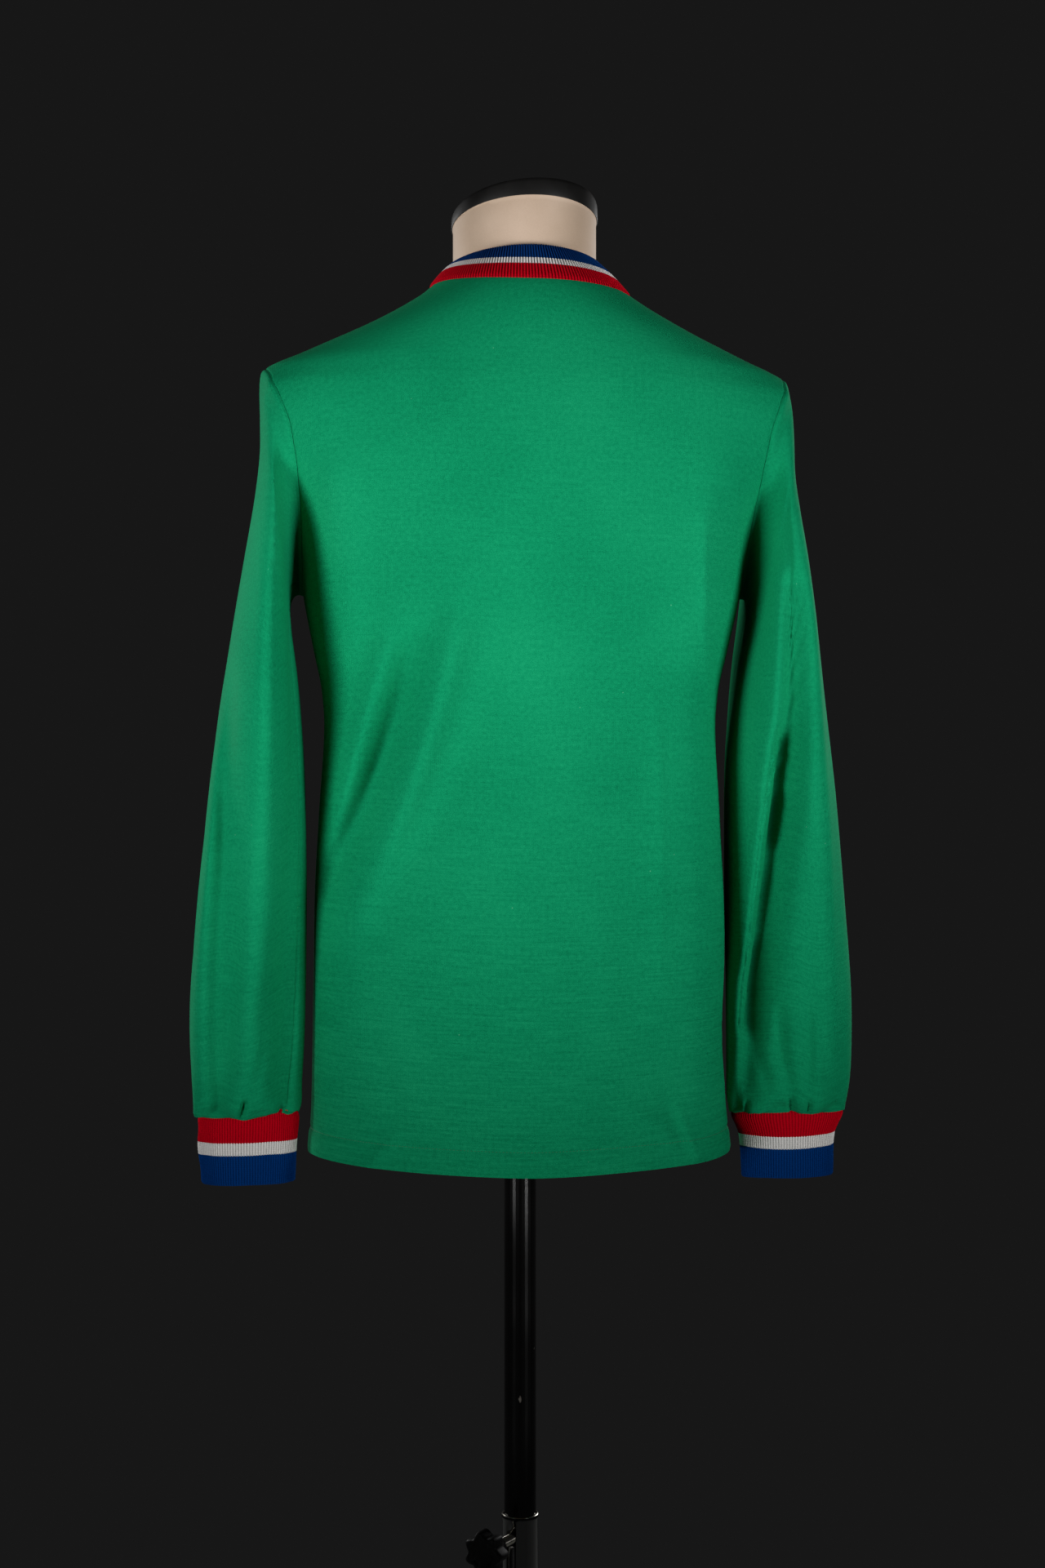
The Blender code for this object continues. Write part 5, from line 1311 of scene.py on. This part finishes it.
def add_cuff(name, arm, shape, seed):
    """A cuff: from its seam allowance in the sleeve down to its folded edge."""
    count = CUFF_WALES * WALE_POINTS
    around = np.arange(count) * 2 * pi / count
    depth = shape[-1][0]
    down = np.concatenate([
        np.linspace(-CUFF_IN_SLEEVE, 0.006, 10), np.linspace(0.008, depth - 0.0016, 16),
        np.linspace(depth - 0.0012, depth, 6),
    ])
    width = smooth_column(shape, CUFF_COLUMNS, "half_width", down)[:, None]
    thick = smooth_column(shape, CUFF_COLUMNS, "half_depth", down)[:, None]
    x = CUFF_CENTRE_X + width * np.cos(around)
    y = CUFF_CENTRE_Y - thick * np.sin(around)
    rings = np.stack([x, y, CUFF_TOP_Z - down[:, None] + 0 * around], axis=-1)
    outward = unit(np.stack([np.cos(around) / width, -np.sin(around) / thick, 0 * width * around], axis=-1))
    height, wide, long = CUFF_WAVES
    soft = height * ripple(around * CUFF_HALF, down[:, None], wide, long, seed)
    rings = rings + outward * (soft * np.clip(down / 0.012, 0, 1)[:, None])[..., None]
    hung = hang(rings, arm, 1.0)
    turned = unit(hang(rings + outward * 0.001, arm, 1.0) - hung)
    return rib_band(name, hung, turned, CUFF_IN_SLEEVE, CUFF_RIB, cuff_rib)


neckband = add_collar()
left_cuff = add_cuff("jersey_cuff_left", LEFT_ARM, LEFT_CUFF, 5)
right_cuff = add_cuff("jersey_cuff_right", RIGHT_ARM, RIGHT_CUFF, 6)
print("ribs:", COLLAR_WALES, "on the neckband,", CUFF_WALES, "on each cuff")

# %% [markdown]
# ## Hem stitching
#
# The turned hem is held by one row of lockstitch, about four stitches to the centimetre, each a
# short bump of thread that sinks into the cloth at both ends. One stitch is a stretched sphere of
# two dozen faces, set along the hem line by a Geometry Nodes tree with the stitch's pitch, length
# and width as inputs.

# %% Stitch tree
stitch_tree = start_tree("stitch row")
tree_input(stitch_tree, "Pitch", 0.0026)
tree_input(stitch_tree, "Length", 0.0019)
tree_input(stitch_tree, "Width", 0.00055)
tree_input(stitch_tree, "Thread")
given = add_node(stitch_tree, "NodeGroupInput")
path = add_node(stitch_tree, "GeometryNodeMeshToCurve", {"Mesh": given.outputs["Geometry"]}).outputs[0]
path = add_node(
    stitch_tree, "GeometryNodeResampleCurve",
    {"Curve": path, "Length": given.outputs["Pitch"]}, mode="LENGTH",
).outputs[0]
one = add_node(
    stitch_tree, "GeometryNodeMeshUVSphere", {"Segments": 6, "Rings": 4, "Radius": 0.5}
).outputs[0]
size = add_node(
    stitch_tree, "ShaderNodeCombineXYZ",
    {"X": given.outputs["Length"], "Y": given.outputs["Width"], "Z": given.outputs["Width"]},
).outputs[0]
tangent = add_node(stitch_tree, "GeometryNodeInputTangent").outputs[0]
turned = add_node(
    stitch_tree, "FunctionNodeAlignRotationToVector", {"Vector": tangent}, axis="X"
).outputs[0]
row = add_node(
    stitch_tree, "GeometryNodeInstanceOnPoints",
    {"Points": path, "Instance": one, "Rotation": turned, "Scale": size},
).outputs[0]
real = add_node(stitch_tree, "GeometryNodeRealizeInstances", {0: row}).outputs[0]
real = add_node(stitch_tree, "GeometryNodeSetShadeSmooth", {"Geometry": real}).outputs[0]
painted = add_node(
    stitch_tree, "GeometryNodeSetMaterial", {"Geometry": real, "Material": given.outputs["Thread"]}
)
add_node(stitch_tree, "NodeGroupOutput", {"Geometry": painted.outputs[0]})


def stitch_row(name, points):
    """Stitches along a line of points."""
    mesh = bpy.data.meshes.new(name)
    mesh.from_pydata([tuple(p) for p in points], [(i, i + 1) for i in range(len(points) - 1)], [])
    line = bpy.data.objects.new(name, mesh)
    bpy.context.scene.collection.objects.link(line)
    return run_tree(line, stitch_tree, {"Thread": thread})


hem_row = round(PANEL_ROWS[0] / FINE_HEM)
back_stitches = stitch_row("hem_stitches_back", sheets["jersey_back"][0][hem_row, 1:-1])
front_stitches = stitch_row("hem_stitches_front", sheets["jersey_front"][0][hem_row, 1:-1])
STITCH_FACES = 24       # six segments by four rings
stitch_count = sum(len(row.data.polygons) // STITCH_FACES for row in (back_stitches, front_stitches))
print("hem stitches:", stitch_count)

# %% [markdown]
# ## The stand's turned pieces
#
# The outer tube ends in a rim where the enamel has been rubbed to bare metal. The CAD tube is right
# in size but has flat facets, which gloss enamel would show, so a finer tube is turned from the
# same profile, with a rolled rim. The clamp screw gets its thread, and the star knob the soft lobes
# of a moulding.

# %% Turned pieces
TUBE_SIDES = 96
BORE = 0.0128
TUBE_OUT = 0.0140
RUBBED_Z = 0.5284       # the rim is bare metal above this
CLAMP_Z = 0.512
CLAMP_ROUND = 38.0      # degrees round the tube from the back
SCREW_HOLE = 0.0043
SCREW_RADIUS = 0.0040
THREAD_PITCH = 0.00125
THREAD_DEPTH = 0.0006
LOBES = 7
LOBE_HEIGHT = 0.0018


def ring_mesh(name, rings, materials, closed=False):
    """A body through rings of points. A closed one joins its last ring to its first."""
    count, sides = rings.shape[:2]
    mesh = bpy.data.meshes.new(name)
    quads = grid_faces(count, sides, True)[0].tolist()
    if closed:
        last = (count - 1) * sides
        quads += [(last + i, last + (i + 1) % sides, (i + 1) % sides, i) for i in range(sides)]
    else:
        quads += [tuple(range(sides)), tuple((count - 1) * sides + i for i in range(sides))]
    mesh.from_pydata(rings.reshape(-1, 3).tolist(), [], quads)
    return finished_piece(name, mesh, materials, HARD_SHARP)


def turned_rings(profile, sides):
    """Rings round +Z through a profile of (radius, height)."""
    angle = np.arange(sides) * 2 * pi / sides
    radius, height = (np.array(column)[:, None] for column in zip(*profile))
    return np.stack([radius * np.cos(angle), radius * np.sin(angle), height + 0 * angle], axis=-1)


# The tube: (radius, height) up over the rolled rim, down the bore, and out over the foot's flange.
tube_profile = (
    (TUBE_OUT, 0.5250), (TUBE_OUT + 0.0004, 0.5256), (TUBE_OUT + 0.0005, 0.5275),
    (TUBE_OUT + 0.0003, 0.5286), (TUBE_OUT - 0.0003, 0.5290), (BORE + 0.0002, 0.5288),
    (BORE, 0.5282), (BORE, 0.0083), (0.0338, 0.0083), (0.0340, 0.0085), (0.0340, 0.0133),
    (0.0330, 0.0143), (0.0175, 0.0150), (0.0150, 0.0158), (TUBE_OUT + 0.0002, 0.0175), (TUBE_OUT, 0.0200),
)
tube_rings = turned_rings(tube_profile, TUBE_SIDES)
stand_tube = ring_mesh("stand_outer_tube", tube_rings, [enamel, plated], closed=True)
for face in stand_tube.data.polygons:
    if face.center.z > RUBBED_Z:
        face.material_index = 1
hole = ring_mesh("hole", turned_rings([(SCREW_HOLE, 0.0), (SCREW_HOLE, 0.020)], 32), [])
clamp_turn = Matrix.Rotation(-radians(CLAMP_ROUND), 4, "Z") @ Matrix.Rotation(pi / 2, 4, "X")
clamp_frame = Matrix.Translation((0, 0, CLAMP_Z)) @ clamp_turn
hole.matrix_world = clamp_frame @ Matrix.Translation((0, 0, 0.008))
drill = stand_tube.modifiers.new("hole", "BOOLEAN")
drill.operation, drill.solver, drill.object = "DIFFERENCE", "EXACT", hole
bpy.context.view_layer.update()
drilled = bpy.data.meshes.new_from_object(stand_tube.evaluated_get(bpy.context.evaluated_depsgraph_get()))
stand_tube.modifiers.remove(drill)
stand_tube.data = drilled
bpy.data.objects.remove(hole)

# The screw: a cylinder whose radius follows a thread of 1.25 mm pitch.
angle = np.arange(36) * 2 * pi / 36
length = np.linspace(0.0130, 0.0425, 200)[:, None]
phase = (length / THREAD_PITCH - angle[None] / (2 * pi)) % 1.0
radius = SCREW_RADIUS - THREAD_DEPTH * np.abs(2 * phase - 1) ** 1.3
radius[0] = radius[-1] = 0.0032
screw_rings = np.stack([radius * np.cos(angle), radius * np.sin(angle), length + 0 * angle], axis=-1)
screw = ring_mesh("clamp_thread", screw_rings, [plated])
screw.data.transform(clamp_frame)

# The knob: (distance out, radius, share of the lobes) from the well round to the face.
knob_profile = (
    (0.0331, 0.0020, 0.0), (0.0331, 0.0043, 0.0), (0.0323, 0.0046, 0.0), (0.0321, 0.0050, 0.0),
    (0.0321, 0.0074, 0.0), (0.0325, 0.0079, 0.0), (0.0333, 0.0080, 0.0), (0.0418, 0.0083, 0.0),
    (0.0427, 0.0090, 0.1), (0.0431, 0.0110, 0.4), (0.0433, 0.0140, 0.9), (0.0439, 0.0149, 1.0),
    (0.0452, 0.0153, 1.0), (0.0530, 0.0153, 1.0), (0.0549, 0.0149, 1.0), (0.0558, 0.0139, 0.9),
    (0.0561, 0.0122, 0.6), (0.0560, 0.0100, 0.2), (0.0552, 0.0092, 0.0), (0.0551, 0.0040, 0.0),
)
angle = np.arange(126) * 2 * pi / 126
out, radius, share = (np.array(column)[:, None] for column in zip(*knob_profile))
radius = radius + LOBE_HEIGHT * share * np.cos(LOBES * angle)
knob_rings = np.stack([radius * np.cos(angle), radius * np.sin(angle), out + 0 * angle], axis=-1)
knob = ring_mesh("clamp_star_knob", knob_rings, [plastic])
knob.data.transform(clamp_frame)
print("turned:", stand_tube.name, screw.name, knob.name)

# %% [markdown]
# ## The neck's cover and cap
#
# The form's cover is drawn up over the neck and glued under its rim, which leaves a thin raised edge
# that catches the light. The moulded cap is pressed on by hand, so it sits a little lower on one
# side. Both are turned rings, finer than the CAD facets, with their upper and lower ends cut along
# leaning planes.

# %% Neck cover and cap
NECK_RADIUS = 0.0559
neck_x = float(swayed(np.array([[0.0, 0.0, 1.5]]))[0, 0])
ring_angle = np.arange(128) * 2 * pi / 128
# Leaning planes: height on the neck's axis, rise towards +X, rise towards +Y.
COVER_START = (1.4890, 0.0, 0.0)
UNDER_RIM = (1.5356, 0.034, -0.198)
CAP_TOP = (1.5480, 0.075, -0.220)


def leaning_ring(radius, lower, upper, share, rise=0.0):
    """A level circle whose height is a blend of two leaning planes."""
    x, y = radius * np.sin(ring_angle), radius * np.cos(ring_angle)
    heights = [h + a * x + b * y for h, a, b in (lower, upper)]
    z = heights[0] * (1 - share) + heights[1] * share + rise
    return np.stack([neck_x + x, NECK_CENTRE_Y + y, z], axis=-1)


cover_rings = [leaning_ring(NECK_RADIUS, COVER_START, UNDER_RIM, s) for s in (0.0, 0.25, 0.5, 0.75, 0.93)]
folded_edge = (
    (0.0, -0.0012), (0.00035, -0.0008), (0.00045, -0.0003), (0.00035, 0.0001), (-0.0002, 0.0002),
)
for out, rise in folded_edge:
    cover_rings.append(leaning_ring(NECK_RADIUS + out, UNDER_RIM, UNDER_RIM, 0.0, rise))
cover_rings += [leaning_ring(NECK_RADIUS - 0.0005, COVER_START, UNDER_RIM, s) for s in (0.98, 0.0)]
neck_cover = ring_mesh("neck_cover", np.array(cover_rings), [cover], closed=True)
# The cap: (radius, share of the way from its lower to its upper plane), out, over and back inside.
cap_profile = (
    (0.0564, 0.30), (0.0564, 0.02), (0.0566, -0.03), (0.0569, -0.03), (0.0571, 0.02), (0.0571, 0.35),
    (0.0569, 0.72), (0.0564, 0.85), (0.0556, 0.94), (0.0542, 0.985), (0.0515, 1.0), (0.0300, 1.015),
    (0.0020, 1.02), (0.0020, 0.92), (0.0300, 0.915), (0.0545, 0.90), (0.0558, 0.86),
)
cap_rings = np.array([leaning_ring(radius, UNDER_RIM, CAP_TOP, share) for radius, share in cap_profile])
cap = ring_mesh("form_cap", cap_rings, [plastic], closed=True)
print("the neck's axis is at x =", round(neck_x, 4))

# %% [markdown]
# ## Which piece stands for which solid
#
# The cloth, the cap, the tube, the screw and the knob replace their CAD nodes and ride on the same
# bodies. The form, the pole and the base plate keep their CAD meshes and get their materials.
# Each cloth piece's area is printed beside the size that it was cut to.

# %% Bodies and cloth sizes
pairs = (
    (back, "form", "back_panel", "green_knit"),
    (front, "form", "front_panel", "green_knit"),
    (left_sleeve, "form", "sleeve_left", "green_knit"),
    (right_sleeve, "form", "sleeve_right", "green_knit"),
    (neckband, "form", "collar", "striped_rib"),
    (left_cuff, "form", "cuff_left", "striped_rib"),
    (right_cuff, "form", "cuff_right", "striped_rib"),
    (stand_tube, "stand", "outer_tube", "black_paint"),
    (screw, "clamp", "clamp_screw", "plated_steel"),
    (knob, "clamp", "clamp_knob", "black_plastic"),
    (cap, "form", "neck_cap", "black_plastic"),
)
for piece, body, node, slot_name in pairs:
    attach(piece, body)
    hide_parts(node)
added = ((back_stitches, "green_knit"), (front_stitches, "green_knit"), (neck_cover, "cream_cover"))
for piece, slot_name in added:
    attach(piece, "form")
for node, material in (("dress_form", cover), ("pole", enamel), ("base_plate", plate_coat)):
    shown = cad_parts[node]
    shown.data.materials.clear()
    shown.data.materials.append(material)
cuts = (    # piece, metres as cut, what it rests on, pieces that belong to it
    (back, (0.44, 0.67), ["dress_form"], [back_stitches]),
    (front, (0.44, 0.67), ["dress_form"], [front_stitches]),
    (left_sleeve, (0.45, 0.58), ["dress_form"], []),
    (right_sleeve, (0.45, 0.58), ["dress_form"], []),
    (neckband, (0.44, 0.034), ["dress_form"], []),
    (left_cuff, (0.20, 0.050), [left_sleeve], []),
    (right_cuff, (0.20, 0.050), [right_sleeve], []),
)
for piece, flat, on, extra in cuts:
    area, faces = round(sheets[piece.name][1], 4), len(piece.data.polygons)
    print(piece.name, "measures", area, "m2 of", round(flat[0] * flat[1], 4), "with", faces, "faces")

# %% [markdown]
# ## Camera, light and floor
#
# The camera stands level at 1.10 m, 1.76 m behind the pole and six and a half degrees round, with a
# 51 mm lens on the long side of the frame, as the photograph was taken. Two soft lights stand low,
# about 40 and 45 degrees to either side of it. They rake across the back, so that the walls of a
# trough shade its bottom, and they leave the tops of the shoulders darker. Two weaker lights reach
# the front.

# %% Camera
AZIMUTH = radians(6.5)
CAMERA_HEIGHT = 1.10
CAMERA_DISTANCE = 1.755
CAMERA_ASIDE = 0.0019
LENS_MM = 51.4
FRAME_MM = 36.0
forward = Vector((sin(AZIMUTH), cos(AZIMUTH), 0.0))
right = Vector((cos(AZIMUTH), -sin(AZIMUTH), 0.0))
lens = bpy.data.cameras.new("camera")
lens.lens, lens.sensor_width, lens.sensor_fit = LENS_MM, FRAME_MM, "AUTO"
camera = bpy.data.objects.new("camera", lens)
camera.location = Vector((0, 0, CAMERA_HEIGHT)) - forward * CAMERA_DISTANCE + right * CAMERA_ASIDE
camera.rotation_euler = (pi / 2, 0.0, -AZIMUTH)
bpy.context.scene.collection.objects.link(camera)
bpy.context.scene.camera = camera
bpy.context.scene.view_settings.view_transform = "Standard"
print("camera at", [round(c, 3) for c in camera.location])


# %% Lights and floor
KEY_HEIGHT = 0.93
KEY_DISTANCE = 1.7
KEY_AIM = (0, 0, 1.29)
KEY_SPREAD = 41
BACK_AIM = (0, 0, 1.2)
FLOOR_RADIUS = 1.25


def soft_light(name, place, aim, size, power, spread):
    """A square area light that points at a place, with its beam in degrees."""
    light = bpy.data.lights.new(name, "AREA")
    light.shape, light.size, light.energy, light.spread = "SQUARE", size, power, radians(spread)
    thing = bpy.data.objects.new(name, light)
    thing.location = place
    thing.rotation_euler = (Vector(aim) - Vector(place)).to_track_quat("-Z", "Y").to_euler()
    bpy.context.scene.collection.objects.link(thing)


for name, degrees, size, power in (("key", -41, 0.60, 1.62), ("fill", 46, 0.70, 1.68)):
    out = right * sin(radians(degrees)) - forward * cos(radians(degrees))
    soft_light(name, Vector((0, 0, KEY_HEIGHT)) + KEY_DISTANCE * out, KEY_AIM, size, power, KEY_SPREAD)
soft_light("back_left", (-1.5, 1.7, 1.5), BACK_AIM, 1.0, 4.5, 90)
soft_light("back_right", (1.5, 1.7, 1.5), BACK_AIM, 1.0, 4, 90)
world = bpy.data.worlds.new("studio")
bpy.context.scene.world = world
world.use_nodes = True
surroundings = world.node_tree.nodes["Background"].inputs
surroundings["Color"].default_value = linear("#8a8a8a")
surroundings["Strength"].default_value = 0.034

floor_material, floor_tree, floor_shader = new_material("matt floor, pale grey", Roughness=0.9)
place = add_node(floor_tree, "ShaderNodeTexCoord").outputs["Object"]
grain = add_node(
    floor_tree, "ShaderNodeTexNoise", {"Vector": place, "Scale": 3.0, "Detail": 2.0}
).outputs[0]
ramp = add_node(floor_tree, "ShaderNodeValToRGB", {"Fac": grain})
ramp.color_ramp.elements[0].color = linear("#c9c9c7")
ramp.color_ramp.elements[1].color = linear("#cfcfcd")
floor_tree.links.new(ramp.outputs[0], floor_shader.inputs["Base Color"])
floor_mesh = bpy.data.meshes.new("floor")
disc = bmesh.new()
bmesh.ops.create_circle(disc, cap_ends=True, segments=96, radius=FLOOR_RADIUS)
disc.to_mesh(floor_mesh)
disc.free()
floor_mesh.materials.append(floor_material)
floor = bpy.data.objects.new("floor", floor_mesh)
bpy.context.scene.collection.objects.link(floor)
